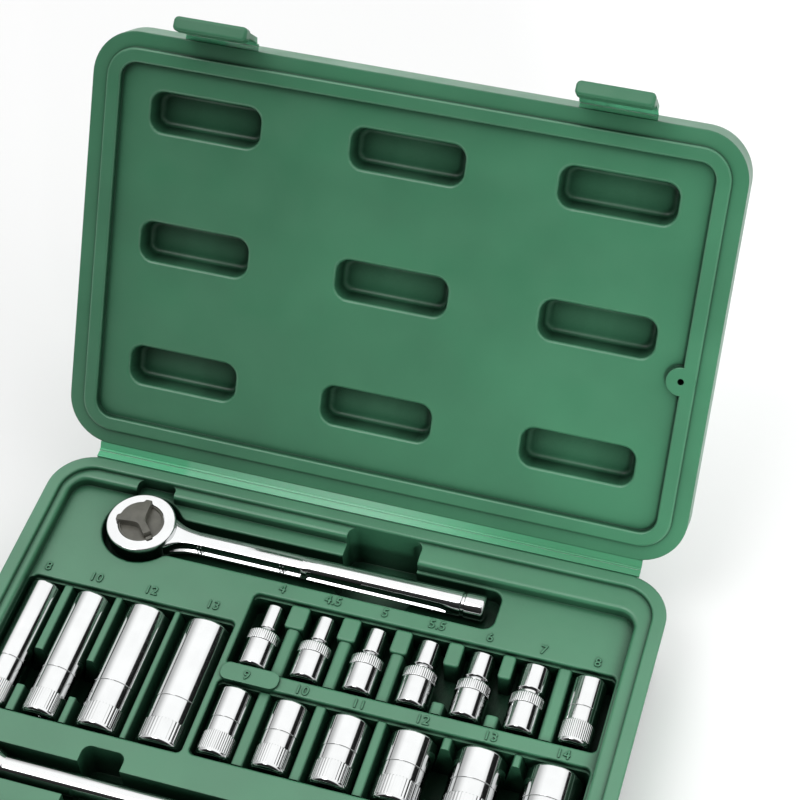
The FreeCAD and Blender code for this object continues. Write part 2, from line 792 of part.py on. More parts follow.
def make_tray_ridges():
    """Make the moulded ridges that part the sockets in each row."""
    row_one, row_two, deep_row = socket_rows()
    pit_one, pit_two, pit_deep = row_pits()
    blocks = "(row_one_nose - nose_block_length - ridge_end_gap)"
    whole = [(None, None)]
    short = [(None, blocks)]
    stub = [(None, pit_one[2] + " + ridge_stub")]
    spans = [short, short, short, stub, stub, whole]
    body = make_ridges("row_one_ridges", row_one, pit_one, spans, "ridge_round")
    add_nose_blocks(body, row_one, pit_one)
    split = [(None, pit_two[2] + " + ridge_stub"), (pit_two[3] + " - ridge_stub", None)]
    spans = [whole, whole, whole, split, split]
    body = make_ridges("row_two_ridges", row_two, pit_two, spans, "row_two_round")
    add_saddles(body, row_two, pit_two, ROW_TWO[-1])
    middle = "(deep_row_nose - deep_trough_from_nose)"
    split = [(None, middle + " - trough_width / 2"), (middle + " + trough_width / 2", None)]
    body = make_ridges("deep_row_ridges", deep_row, pit_deep, [split, split, whole], "deep_round")
    add_saddles(body, deep_row, pit_deep, DEEP_ROW[-1])


def add_number_island(body):
    """Raise the round-ended pad between the first pockets of the two rows."""
    sketch = new_sketch(body, "island", "XY_Plane", WELL_TOP)
    front = "row_two_nose + well_nose_gap - island_overlap"
    back = "row_one_nose - socket_length - well_drive_gap + island_overlap"
    left = "row_well_left - island_overlap"
    rounded_rectangle(sketch, left, left + " + island_width", front, back, "island_corner")
    pad(body, sketch, "well_drop + island_rise")


def add_keepers(body):
    """Add the two ribs that the latch hooks catch under."""
    hook_top = "base_height + latch_axis_drop - flap_reach + hook_reach"
    sketch = new_sketch(body, "keepers", "XZ_Plane", "case_depth / 2 - keeper_root")
    for side in ("-", ""):
        middle = side + "latch_spacing / 2"
        left = middle + " - keeper_length / 2"
        right = middle + " + keeper_length / 2"
        bottom = hook_top + " + hook_gap"
        rounded_rectangle(sketch, left, right, bottom, bottom + " + keeper_height", "keeper_corner")
    pad(body, sketch, "keeper_root + latch_axis_out - web_thickness / 2 - hook_gap")


def make_lid():
    """Mould the lid half of the case, lying open and flat before it is swung up."""
    body = new_body("case_lid")
    half_x = "case_width / 2"
    near = "hinge_gap"
    far = "hinge_gap + case_depth"
    outline = new_sketch(body, "lid_outline")
    rounded_rectangle(outline, "-" + half_x, half_x, near, far, "case_corner")
    pad(body, outline, "lid_height", backwards=True)
    bottom = -value("lid_height")
    round_edges(body, lambda shape, edge: flat_at(edge, bottom), "lid_edge_round")

    lip = new_sketch(body, "lip")
    inset = "(rim_width + lip_gap)"
    rounded_rectangle(lip, *lid_sides(inset), "case_corner - " + inset)
    pad(body, lip, "lip_height")
    panel = new_sketch(body, "panel", "XY_Plane", "lip_height")
    inset = "(rim_width + lip_gap + lip_width)"
    rounded_rectangle(panel, *lid_sides(inset), "case_corner - " + inset)
    pocket(body, panel, "lip_height + panel_drop")
    round_edges(body, brink_at("lip_height"), "soft_edge")
    add_lid_slots(body)
    round_edges(body, brink_at("-panel_drop"), "slot_mouth_round")
    floor = value("-panel_drop - slot_depth")
    round_edges(body, lambda shape, edge: flat_at(edge, floor), "slot_floor_round")
    add_needle_boss(body)
    on_lid(body)


def lid_sides(inset):
    """Give the four sides of a rectangle set in from the lid's outline."""
    half = "case_width / 2 - " + inset
    return "-(%s)" % half, half, "hinge_gap + " + inset, "hinge_gap + case_depth - " + inset


def add_needle_boss(body):
    """Add the small boss with a hole at the right side of the lid panel."""
    x = "case_width / 2 - rim_width - boss_offset"
    y = "hinge_gap + case_depth / 2 - boss_from_middle"
    boss = new_sketch(body, "boss", "XY_Plane", "-panel_drop")
    circle(boss, x, y, "boss_radius")
    pad(body, boss, "panel_drop + lip_height")
    hole = new_sketch(body, "boss_hole", "XY_Plane", "lip_height")
    circle(hole, x, y, "boss_hole_radius")
    pocket(body, hole, "boss_hole_depth")


def add_lid_slots(body):
    """Press the nine drafted slots into the lid panel."""
    sketch = new_sketch(body, "slots", "XY_Plane", "-panel_drop")
    for column in (-1, 0, 1):
        for row in (-1, 0, 1):
            x = "%d * slot_column_pitch" % column
            y = "hinge_gap + case_depth / 2 + slot_shift + %d * slot_row_pitch" % row
            rounded_rectangle(sketch, x + " - slot_length / 2", x + " + slot_length / 2",
                              y + " - slot_width / 2", y + " + slot_width / 2", "slot_corner")
    cut = pocket(body, sketch, "slot_depth")
    bind(cut, "TaperAngle", "-slot_draft")


def make_films():
    """Make the living hinge's two halves, the lid's one with the fold's round end on the axis."""
    top = "-film_below_axis"
    bottom = "-film_below_axis - film_thickness"
    half = "film_thickness / 2"
    base_end = "-(%s + film_fold_gap)" % half
    spans = [("hinge_film_base", "-hinge_gap", base_end), ("hinge_film_lid", "film_end_gap", "hinge_gap")]
    for label, near, far in spans:
        body = new_body(label)
        sketch = new_sketch(body, "film", "YZ_Plane", "-film_length / 2")
        polygon(sketch, [(near, bottom), (far, bottom), (far, top), (near, top)])
        pad(body, sketch, "film_length")
        if label == "hinge_film_base":
            place(body, "0", HINGE_Y, "base_height")
        else:
            fold = new_sketch(body, "fold", "YZ_Plane", "-film_length / 2")
            circle(fold, "0", "0", half)
            pad(body, fold, "film_length")
            on_lid(body)


def make_latches():
    """Make the two hooked flaps and the webs that they bend on."""
    for side, sign in (("left", "-"), ("right", "")):
        middle = sign + "latch_spacing / 2"
        web = doc.addObject("Part::Box", "latch_film_" + side)
        web.Label = "latch_film_" + side
        made.append(web)
        bind(web, "Length", "latch_width")
        bind(web, "Width", "latch_axis_out - web_thickness / 2 - web_fold_gap")
        bind(web, "Height", "web_thickness")
        drop = "-latch_axis_drop - web_thickness / 2"
        on_lid(web, middle + " - latch_width / 2", "hinge_gap + case_depth", drop)
        make_flap(side, middle)


def make_flap(side, middle):
    """Make one flap about its bending line: web with a round end, hollowed plate and thick lip."""
    body = new_body("latch_" + side)
    start = "-latch_width / 2"
    sketch = new_sketch(body, "flap_" + side, "YZ_Plane", start)
    half_web = "web_thickness / 2"
    lip_start = "flap_reach - hook_reach"
    polygon(sketch, [
        ("0", "-" + half_web),
        ("latch_axis_out", "-" + half_web),
        ("latch_axis_out + flap_slope", "-flap_back"),
        (lip_start, "-flap_back"),
        (lip_start, "-flap_channel"),
        ("latch_axis_out + flap_slope", "-flap_channel"),
        ("latch_axis_out", half_web),
        ("0", half_web),
    ])
    pad(body, sketch, "latch_width")
    fold = new_sketch(body, "fold_" + side, "YZ_Plane", start)
    circle(fold, "0", "0", half_web)
    pad(body, fold, "latch_width")
    lip = new_sketch(body, "lip_" + side, "XZ_Plane", "-(%s)" % lip_start)
    sides = (start, "latch_width / 2", "-lip_back", "latch_axis_out - hook_gap")
    rounded_rectangle(lip, *sides, "lip_corner")
    pad(body, lip, "hook_reach", backwards=True)
    round_edges(body, is_lip_end, "lip_round")
    swing = "180 - lid_open_angle"
    turn = "%s + latch_%s_angle" % (swing, side)
    y = "(%s) * cos(%s) + latch_axis_drop * sin(%s)" % (LATCH_AXIS_Y, swing, swing)
    z = "(%s) * sin(%s) - latch_axis_drop * cos(%s)" % (LATCH_AXIS_Y, swing, swing)
    place(body, middle, HINGE_Y + " + " + y, "base_height + " + z, X_WAY, turn)


def is_lip_end(shape, edge):
    """Choose the edges round the free end of a flap's lip."""
    box = edge.BoundBox
    return abs(box.YMin - value("flap_reach")) < SAME and box.YLength < SAME


def make_socket(name, key, length, across, nose, widest):
    """Turn one socket, nose at its own origin, and lay it in its bed."""
    body = new_body(name)
    outer = "outer_%s / 2" % key
    bore = "socket_bore / 2"
    chamfer = "socket_chamfer"
    sketch = new_sketch(body, "profile", "XZ_Plane")
    if key in SMALL_SOCKETS:
        neck_end = "small_nose_length + small_neck_length"
        collar_end = neck_end + " + collar_length"
        turned = [
            (bore, "0"),
            (outer + " - nose_chamfer", "0"),
            (outer, "nose_chamfer"),
            (outer, "small_nose_length"),
            (outer + " - small_neck_cut", "small_nose_length + small_neck_slope"),
            (outer + " - small_neck_cut", neck_end),
            ("small_collar / 2 - " + chamfer, neck_end),
            ("small_collar / 2", neck_end + " + " + chamfer),
            ("small_collar / 2", collar_end),
            ("small_body / 2", collar_end + " + collar_slope"),
            ("small_body / 2", length + " - " + chamfer),
            ("small_body / 2 - " + chamfer, length),
            (bore, length),
        ]
    else:
        step = "%s * %s" % (length, "step_at" if length == "socket_length" else "deep_step_at")
        turned = [
            (bore, "0"),
            (outer + " - " + chamfer, "0"),
            (outer, chamfer),
            (outer, step),
            (outer + " - step_depth", step + " + step_depth"),
            (outer + " - step_depth", "%s - grip_band - step_depth" % length),
            (outer, "%s - grip_band" % length),
            (outer, "%s - %s" % (length, chamfer)),
            ("%s - %s" % (outer, chamfer), length),
            (bore, length),
        ]
    polygon(sketch, turned)
    revolve(body, sketch)
    hexagon = new_sketch(body, "hexagon")
    corner = "(across_%s + hex_slack) / 2 / cos(30)" % key
    polygon(hexagon, [polar(corner, str(turn)) for turn in range(0, 360, 60)])
    hex_depth = "small_nose_length" if key in SMALL_SOCKETS else "%s * hex_share" % length
    pocket(body, hexagon, hex_depth, backwards=True)
    add_square_hole(body, length)
    place(body, across, nose, socket_axis_height(widest), X_WAY, "90")


def add_square_hole(body, height):
    """Cut the square drive hole downwards from the given height."""
    square = new_sketch(body, "square_hole", "XY_Plane", height)
    draw_square(square, "square_hole / 2")
    pocket(body, square, "square_hole_depth")


def make_ratchet_handle():
    """Forge the ratchet's head, neck and grip about the head's own axis."""
    body = new_body("ratchet_handle")
    head = new_sketch(body, "head_profile", "XZ_Plane")
    outline = [
        ("ring_radius", "0"),
        ("head_radius - head_chamfer", "0"),
        ("head_radius", "head_chamfer"),
        ("head_radius", "head_height - head_chamfer"),
        ("head_radius - head_chamfer", "head_height"),
        ("dial_radius + dial_gap", "head_height"),
        ("dial_radius + dial_gap", "dial_seat - dial_gap"),
        ("stem_radius + stem_room", "dial_seat - dial_gap"),
        ("stem_radius + stem_room", "cavity_top"),
        ("tooth_tip_radius", "cavity_top"),
        ("tooth_tip_radius", "ring_thickness"),
        ("ring_radius", "ring_thickness"),
    ]
    polygon(head, outline)
    revolve(body, head)
    add_teeth(body)
    add_flared_neck(body)
    grip = new_sketch(body, "grip", "XZ_Plane")
    bind(grip, "AttachmentOffset.Base.y", "handle_height")
    knob = "ratchet_reach - knob_length"
    polygon(grip, [
        ("neck_length - shank_overlap", "0"),
        ("neck_length - shank_overlap", "shank_radius"),
        ("shank_end", "shank_radius"),
        ("shank_end + grip_taper", "grip_radius"),
        (knob + " - knob_groove_width - knob_slope", "grip_end_radius"),
        (knob + " - knob_groove_width", "grip_end_radius - knob_groove"),
        (knob, "grip_end_radius - knob_groove"),
        (knob + " + knob_slope", "grip_end_radius + knob_rise"),
        ("ratchet_reach - knob_chamfer", "grip_end_radius + knob_rise"),
        ("ratchet_reach", "grip_end_radius - knob_chamfer"),
        ("ratchet_reach", "0"),
    ])
    revolve(body, grip, "H_Axis")
    panel = new_sketch(body, "panel", "XY_Plane", "handle_height + shank_radius")
    middle = "(neck_length + shank_end) / 2"
    rounded_rectangle(panel, middle + " - panel_length / 2", middle + " + panel_length / 2",
                      "-panel_width / 2", "panel_width / 2", "panel_corner")
    pocket(body, panel, "panel_depth")
    place(body, "ratchet_x", "ratchet_y", HEAD_BOTTOM)


def add_flared_neck(body):
    """Add the neck, whose two sides flare in arcs from the shank out to the head."""
    sketch = new_sketch(body, "neck", "XY_Plane", "handle_height - neck_thickness / 2")
    root = "head_radius - neck_overlap"
    end, half, flare = [value(text) for text in ("neck_length", "neck_end_width / 2", "neck_flare")]
    run = end - value(root)
    lean = math.acos(run / flare)
    left_circle = Part.Circle(FreeCAD.Vector(end, half + flare, 0), Z_WAY, flare)
    right_circle = Part.Circle(FreeCAD.Vector(end, -half - flare, 0), Z_WAY, flare)
    left_side = Part.ArcOfCircle(left_circle, math.pi + lean, 3 * math.pi / 2)
    right_side = Part.ArcOfCircle(right_circle, math.pi / 2, math.pi - lean)
    tip = Part.LineSegment(left_side.EndPoint, right_side.StartPoint)
    base = Part.LineSegment(right_side.EndPoint, left_side.StartPoint)
    chain = [sketch.addGeometry(piece) for piece in (left_side, tip, right_side, base)]
    for index, piece in enumerate(chain):
        sketch.addConstraint(Sketcher.Constraint("Coincident", piece, END, chain[(index + 1) % 4], START))
    for side, at_root, at_end, edge in [(chain[0], START, END, "neck_end_width / 2"),
                                        (chain[2], END, START, "-neck_end_width / 2")]:
        hold(sketch, "X", side, CENTRE, "neck_length")
        hold(sketch, "X", side, at_end, "neck_length")
        hold(sketch, "Y", side, at_end, edge)
        hold(sketch, "X", side, at_root, root)
        hold_radius(sketch, side, "neck_flare")
    pad(body, sketch, "neck_thickness")


def add_teeth(body):
    """Cut one tooth gap into the head's bore and repeat it round the bore."""
    gap = new_sketch(body, "tooth_gap", "XY_Plane", "cavity_top")
    middle = "tooth_angle"
    tip = "tooth_tip_radius - tooth_overlap"
    spread = "tooth_width / 2"
    corners = [(tip, "-" + spread), ("tooth_tip_radius + tooth_depth", "0"), (tip, spread)]
    turned = []
    for out, side in corners:
        x = "(%s) * cos(%s) - (%s) * sin(%s)" % (out, middle, side, middle)
        turned.append((x, "(%s) * sin(%s) + (%s) * cos(%s)" % (out, middle, side, middle)))
    polygon(gap, turned)
    cut = pocket(body, gap, "cavity_top - ring_thickness")
    ring = body.newObject("PartDesign::PolarPattern", "teeth")
    ring.Originals = [cut]
    ring.Axis = (gap, ["N_Axis"])
    ring.Angle = 360
    bind(ring, "Occurrences", "tooth_count")
    body.Tip = ring


def make_anvil():
    """Make the rotor with its pawl pocket, dial bore and square drive."""
    body = new_body("drive_anvil")
    profile = new_sketch(body, "anvil_profile", "XZ_Plane")
    shoulder = "ring_thickness + ring_gap"
    polygon(profile, [
        ("0", "-anvil_step"),
        ("anvil_collar_radius", "-anvil_step"),
        ("anvil_collar_radius", shoulder),
        ("anvil_radius", shoulder),
        ("anvil_radius", "anvil_top"),
        ("stem_radius + running_gap", "anvil_top"),
        ("stem_radius + running_gap", "stem_bottom - running_gap"),
        ("0", "stem_bottom - running_gap"),
    ])
    revolve(body, profile)
    pawl_room = new_sketch(body, "pawl_room", "XY_Plane", "pawl_top + pawl_end_gap")
    polygon(pawl_room, [
        ("pawl_pocket_back", "-pawl_pocket_half"),
        ("pawl_pocket_reach", "-pawl_pocket_half"),
        ("pawl_pocket_reach", "pawl_pocket_half"),
        ("pawl_pocket_back", "pawl_pocket_half"),
    ])
    pocket(body, pawl_room, "pawl_top - pawl_bottom + 2 * pawl_end_gap")
    add_square_drive(body, "-anvil_step", "square_length - anvil_step")
    hole = new_sketch(body, "ball_hole", "XZ_Plane", "square_drive / 2")
    circle(hole, "0", "-square_length + ball_from_end", "ball_radius + running_gap")
    pocket(body, hole, "ball_radius * 2 - ball_proud + ball_spring_room")
    pin_hole = new_sketch(body, "pin_hole", "XY_Plane", "anvil_top")
    circle(pin_hole, "pawl_pin_x", "0", "pawl_pin_radius")
    pocket(body, pin_hole, "anvil_top - pawl_bottom + pawl_pin_root")
    place(body, "ratchet_x", "ratchet_y", HEAD_BOTTOM)


def add_square_drive(body, top, length):
    """Add a square drive that ends, or hangs, below the given height."""
    square = new_sketch(body, "square", "XY_Plane", top)
    draw_square(square, "square_drive / 2")
    pad(body, square, length, backwards=True)


def make_dial():
    """Make the direction dial: disc, raised fan with a thumb arm, and the stem below."""
    body = new_body("selector_dial")
    profile = new_sketch(body, "dial_profile", "XZ_Plane")
    polygon(profile, [
        ("0", "stem_bottom"),
        ("stem_radius", "stem_bottom"),
        ("stem_radius", "dial_seat"),
        ("dial_radius", "dial_seat"),
        ("dial_radius", "dial_seat + dial_thickness - dial_edge"),
        ("dial_radius - dial_edge", "dial_seat + dial_thickness"),
        ("0", "dial_seat + dial_thickness"),
    ])
    revolve(body, profile)
    raised = new_sketch(body, "raised_fan", "XY_Plane", "dial_seat + dial_thickness")
    polygon(raised, dial_outline())
    pad(body, raised, "dial_rise")
    hole = new_sketch(body, "plunger_hole", "YZ_Plane", "stem_radius")
    circle(hole, "0", "plunger_height", "plunger_radius + running_gap")
    pocket(body, hole, "stem_radius + plunger_spring_length")
    place(body, "ratchet_x", "ratchet_y", HEAD_BOTTOM, Z_WAY, "dial_turn")


def dial_outline():
    """List the corners of the dial's raised part, going once round."""
    points = []
    for tab in ("dial_fan_from", "dial_fan_to", "dial_thumb"):
        sides = ("%s - dial_tab_half" % tab, "%s + dial_tab_half" % tab)
        points += [polar("dial_tab_reach", side) for side in sides]
        if tab == "dial_fan_from":
            points += fan_rim()
            continue
        following = "dial_thumb" if tab == "dial_fan_to" else "dial_fan_from + 360"
        middle = "(%s + %s) / 2" % (tab, following)
        points.append(polar("dial_waist_side", middle + " - dial_waist_turn"))
        points.append(polar("dial_waist", middle))
        points.append(polar("dial_waist_side", middle + " + dial_waist_turn"))
    return points


def fan_rim():
    """List the points of the fan's curved edge between its two tabs."""
    begin = "(dial_fan_from + dial_tab_half)"
    span = "(dial_fan_to - dial_fan_from - 2 * dial_tab_half)"
    steps = 6
    angles = ["%s + %s * %d / %d" % (begin, span, step, steps) for step in range(steps + 1)]
    return [polar("dial_fan_radius", angle) for angle in angles]


def make_pawl():
    """Make the double-ended pawl about its pin, one toe swung into the teeth."""
    body = new_body("pawl")
    sketch = new_sketch(body, "pawl_outline", "XY_Plane", "pawl_bottom")
    tip = polar("pawl_arm", "pawl_tip_angle")
    toes = []
    for turn in ("toe_aim - toe_spread", "toe_aim + toe_spread"):
        step = polar("toe_length", turn)
        toes.append((tip[0] + " + " + step[0], tip[1] + " + " + step[1]))
    upper = [("-pawl_back", "pawl_back_half"), toes[0], tip, toes[1], ("pawl_front", "pawl_front_half")]
    lower = [(x, "-(%s)" % y) for x, y in reversed(upper)]
    polygon(sketch, upper + lower)
    pad(body, sketch, "pawl_top - pawl_bottom")
    bore = new_sketch(body, "pawl_bore", "XY_Plane", "pawl_top")
    circle(bore, "0", "0", "pawl_pin_radius + running_gap")
    pocket(body, bore, "pawl_top - pawl_bottom")
    place(body, "ratchet_x + pawl_pin_x", "ratchet_y", HEAD_BOTTOM, Z_WAY, "-pawl_swing")


def make_round(label, radius, length, x, y, z, way, turn):
    """Make a plain pin, plunger or spring body."""
    part = doc.addObject("Part::Cylinder", label)
    part.Label = label
    made.append(part)
    bind(part, "Radius", radius)
    bind(part, "Height", length)
    place(part, x, y, z, way, turn)


def make_ball(label, x, y, z):
    """Make a detent ball."""
    part = doc.addObject("Part::Sphere", label)
    part.Label = label
    made.append(part)
    bind(part, "Radius", "ball_radius")
    place(part, x, y, z)


def make_ratchet_inside():
    """Make the loose pieces inside the ratchet's head."""
    ring = new_body("retaining_ring")
    sketch = new_sketch(ring, "ring")
    circle(sketch, "0", "0", "ring_radius")
    circle(sketch, "0", "0", "ring_bore")
    pad(ring, sketch, "ring_thickness")
    place(ring, "ratchet_x", "ratchet_y", HEAD_BOTTOM)
    pin_foot = HEAD_BOTTOM + " + pawl_bottom - pawl_pin_root"
    make_round("pawl_pin", "pawl_pin_radius", "anvil_top - pawl_bottom + pawl_pin_root",
               "ratchet_x + pawl_pin_x", "ratchet_y", pin_foot, Z_WAY, "0")
    turn = math.radians(value("dial_turn"))
    tilt = FreeCAD.Vector(-math.sin(turn), math.cos(turn), 0)
    plunger_out = "stem_radius - plunger_length + plunger_proud"
    spring_out = plunger_out + " - plunger_spring_length"
    for label, radius, reach, length in [
        ("selector_plunger", "plunger_radius", plunger_out, "plunger_length"),
        ("plunger_spring", "plunger_radius * spring_share", spring_out, "plunger_spring_length"),
    ]:
        x = "ratchet_x + (%s) * cos(dial_turn)" % reach
        y = "ratchet_y + (%s) * sin(dial_turn)" % reach
        make_round(label, radius, length, x, y, HEAD_BOTTOM + " + plunger_height", tilt, "90")
    ball_z = HEAD_BOTTOM + " - square_length + ball_from_end"
    ball_y = "ratchet_y - square_drive / 2 - ball_proud + ball_radius"
    make_ball("drive_ball", "ratchet_x", ball_y, ball_z)
    make_round("drive_ball_spring", "ball_radius * spring_share", BALL_SPRING_LENGTH, "ratchet_x",
               ball_y + " + ball_radius + ball_spring_room - spring_end_gap", ball_z, X_WAY, "90")


def make_extension(prefix, start, length):
    """Turn one extension bar with its socket end at its own origin, and its detent."""
    body = new_body(prefix + "_extension")
    profile = new_sketch(body, "bar_profile", "XZ_Plane")
    collar = "%s - bar_square_length - bar_collar_length" % length
    polygon(profile, [
        ("0", "0"),
        ("bar_socket_radius - socket_chamfer", "0"),
        ("bar_socket_radius", "socket_chamfer"),
        ("bar_socket_radius", "bar_socket_length"),
        ("bar_shank_radius", "bar_socket_length + bar_taper"),
        ("bar_shank_radius", collar + " - bar_collar_slope"),
        ("bar_collar_radius", collar),
        ("bar_collar_radius", collar + " + bar_collar_length - socket_chamfer"),
        ("bar_collar_radius - socket_chamfer", collar + " + bar_collar_length"),
        ("0", collar + " + bar_collar_length"),
    ])
    revolve(body, profile)
    add_square_drive(body, length, "bar_square_length")
    entry = new_sketch(body, "square_hole")
    draw_square(entry, "square_hole / 2")
    pocket(body, entry, "square_hole_depth", backwards=True)
    hole = new_sketch(body, "ball_hole", "YZ_Plane", "-square_drive / 2")
    circle(hole, "0", "%s - ball_from_end" % length, "ball_radius + running_gap")
    pocket(body, hole, "ball_radius * 2 - ball_proud + ball_spring_room", backwards=True)
    axis_z = TOOL_TOP + " - bar_socket_radius"
    place(body, start, "bar_y", axis_z, FreeCAD.Vector(0, 1, 0), "90")
    ball_x = "%s + %s - ball_from_end" % (start, length)
    ball_z = axis_z + " + square_drive / 2 + ball_proud - ball_radius"
    make_ball(prefix + "_extension_ball", ball_x, "bar_y", ball_z)
    make_round(prefix + "_extension_spring", "ball_radius * spring_share", BALL_SPRING_LENGTH,
               ball_x, "bar_y", ball_z + " - ball_radius - ball_spring_room + spring_end_gap", Z_WAY, "0")


def check_and_export():
    """Stop if anything failed, then write one file for each sub-part."""
    doc.recompute()
    for thing in doc.Objects:
        if "Invalid" in thing.State or "Error" in thing.State:
            raise RuntimeError("%s failed: %s" % (thing.Label, thing.State))
    for part in made:
        if part.Shape.isNull() or not part.Shape.isValid():
            raise RuntimeError("%s has no valid shape" % part.Label)
    os.makedirs("parts", exist_ok=True)
    for part in made:
        part.Shape.exportStep("parts/%s.step" % part.Label)
        print(part.Label, len(part.Shape.Solids), round(part.Shape.Volume, 1))


def main():
    """Build every sub-part and write it out."""
    fill_sheet()
    make_base()
    make_tray_ridges()
    make_lid()
    make_films()
    make_latches()
    for row in socket_rows():
        for socket in row:
            make_socket(*socket)
    make_ratchet_handle()
    make_anvil()
    make_dial()
    make_pawl()
    make_ratchet_inside()
    for extension in EXTENSIONS:
        make_extension(*extension)
    check_and_export()


main()
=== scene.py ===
"""Dress the socket wrench set: case finish, pocket numbers, turned sockets, ratchet and stage."""
import math

import bmesh
import bpy
from bpy.props import FloatProperty, FloatVectorProperty, PointerProperty
from mathutils import Matrix, Vector


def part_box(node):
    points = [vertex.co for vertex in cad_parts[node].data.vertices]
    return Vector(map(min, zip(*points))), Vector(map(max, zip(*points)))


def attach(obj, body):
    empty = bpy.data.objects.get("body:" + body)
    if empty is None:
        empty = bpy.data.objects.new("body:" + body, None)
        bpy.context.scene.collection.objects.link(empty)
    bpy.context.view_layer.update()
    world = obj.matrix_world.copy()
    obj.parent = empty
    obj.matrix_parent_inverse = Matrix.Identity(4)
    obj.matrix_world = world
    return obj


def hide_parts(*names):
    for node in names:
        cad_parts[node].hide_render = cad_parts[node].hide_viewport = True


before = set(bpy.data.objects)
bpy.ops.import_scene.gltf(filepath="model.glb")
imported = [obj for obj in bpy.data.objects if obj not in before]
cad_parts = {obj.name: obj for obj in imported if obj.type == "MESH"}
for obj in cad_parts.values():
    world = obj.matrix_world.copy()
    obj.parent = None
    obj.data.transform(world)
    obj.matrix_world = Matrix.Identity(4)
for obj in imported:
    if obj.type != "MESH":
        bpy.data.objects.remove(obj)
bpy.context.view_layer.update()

bl_info = {
    "name": "Socket set dresser",
    "version": (1, 0, 0),
    "blender": (4, 5, 0),
    "location": "View3D > Sidebar > Socket set",
    "description": "Finishes and fine shapes for a socket wrench set in its case",
    "category": "Object",
}

MM = 0.001

# Sockets, in millimetres
SOCKET_LENGTH = 26.3
DEEP_LENGTH = 50.0
OUTER = {"4": 7.2, "4_5": 7.6, "5": 8.0, "5_5": 8.5, "6": 9.2, "7": 10.3, "8": 11.8,
         "9": 12.8, "10": 13.8, "11": 15.2, "12": 16.6, "13": 17.8, "14": 19.4}
SMALL = ["4", "4_5", "5", "5_5", "6", "7"]
STANDARD = ["8", "9", "10", "11", "12", "13", "14"]
DEEP = ["8", "10", "12", "13"]
SMALL_BODY = 5.9
SMALL_COLLAR = 6.2
NOSE_LENGTH = 10.0
NECK_END = 11.3
NECK_CUT = 0.75
COLLAR_END = 15.7
HEX_SHARE = 0.48
SQUARE_HOLE = 6.55
SQUARE_DEPTH = 9.5
SQUARE_FLARE = 0.45
FLARE_DEPTH = 0.5
BORE = 1.7
RUN_OUT = 0.25
SHARP_STEP = 0.02
LINE_SHARE = 0.46
BAND_LENGTH = 8.6
DEEP_LINE_SHARE = 0.64
DEEP_BAND_LENGTH = 9.0

# Turned profiles as (inset from the radius, place along the axis)
NOSE_TAIL = [(0.0, -0.9), (0.12, -0.7), (NECK_CUT, 0.0)]
COLLAR_FRONT = [(0.95, 0.0), (0.8, 0.05), (0.3, 0.62)]
COLLAR_BAND = 0.66
TURNED_LINE = [(0.0, -0.1), (0.06, 0.0), (0.22, 0.12), (0.22, 0.3), (0.1, 0.42)]
WAIST = 0.1
DRIVE_END = [(0.0, -0.95), (0.06, -0.72), (0.66, -0.06), (0.8, 0.0)]

# Extension bars, in millimetres: profiles as (radius, place along the axis)
LONG_BAR = 100.0
SHORT_BAR = 50.0
BAR_RADIUS = 6.1
BAR_DRIVE = 10.4
BAR_BORE = 0.4
BAR_MOUTH = [(5.3, 0), (5.45, 0.05), (6.05, 0.6), (BAR_RADIUS, 0.8), (BAR_RADIUS, 3.0)]
BAR_BAND = (3.2, 10.5)
BAR_SHOULDER = [(BAR_RADIUS, 10.8), (BAR_RADIUS, 14.6), (5.9, 15.2), (4.3, 18.4), (4.0, 19.2)]
BAR_COLLAR = [(4.0, -1.2), (4.2, -0.7), (4.9, -0.1), (5.0, 0.1), (5.0, 1.5), (4.8, 1.95),
              (4.2, 2.4)]
DRIVE_SQUARE = 6.35

# Ratchet, in millimetres and degrees
HEAD = Vector((-74.9, 52.9, 23.5))
HEAD_RADIUS = 12.5
HEAD_HEIGHT = 10.5
HANDLE_HEIGHT = 5.3
HANDLE_STEPS = 112
NECK_WIDTH = 3.7
LEDGE_LEVEL = -0.5
LEDGE_FOOT = -0.85
LEDGE = 0.9
SHALLOW = 0.1
ROUND = 2.0
GRIP_START = 63.8
GRIP_SHOULDER = [(60.6, 3.72, 3.66, 2.8, LEDGE), (61.2, 3.76, 3.72, 2.6, SHALLOW),
                 (62.2, 3.86, 3.84, 2.4, SHALLOW), (63.2, 4.05, 4.05, 2.1, SHALLOW),
                 (GRIP_START, 4.1, 4.1, ROUND, LEDGE)]
KNOB = [(119.1, 4.42), (119.4, 4.1), (120.1, 4.1), (120.5, 4.5), (120.9, 4.58), (126.4, 4.58),
        (127.0, 4.35), (127.35, 3.9), (127.4, 3.6)]
THUMB_TURN = 312.0
DIAL_SEAT = 8.6
DIAL_STEPS = 360

# Case, in millimetres: where a painted sheen lies along the hinge films, and where the latches fold
LATCH_FOLD = Vector((0.0, 160.874, 168.769))
FILM_SHEEN_FROM = -68.0
FILM_SHEEN_TO = 60.0

# Pocket numbers: text and place on the tray in millimetres, round of their edges in metres
TRAY_TOP = 30.0
ROW_ONE_NUMBERS = [("4", -17.6), ("4.5", 1.1), ("5", 19.9), ("5.5", 38.6), ("6", 57.4),
                   ("7", 76.2), ("8", 95.0)]
ROW_TWO_NUMBERS = [("10", 2.2), ("11", 22.4), ("12", 44.5), ("13", 67.9), ("14", 92.4)]
DEEP_NUMBERS = [("8", -100.8), ("10", -82.6), ("12", -61.8), ("13", -38.8)]
ROW_ONE_LINE = 41.2
ROW_TWO_LINE = 3.9
DEEP_LINE = 28.4
ISLAND_NUMBER = ("9", -17.5, 31.0)
NUMBER_EDGE = 0.00008

# Finishes: the middle range of a noise, and how far (in metres) and how much the painted shade
# darkens recesses
NOISE_LOW = 0.3
NOISE_HIGH = 0.7
PAINTED_SHADE_REACH = 0.016
PAINTED_SHADE_HIDDEN = 0.34
PAINTED_SHADE_OPEN = 0.92
PAINTED_SHADE_DARKEST = 0.09
PAINTED_SHADE_GLOSS = 0.08

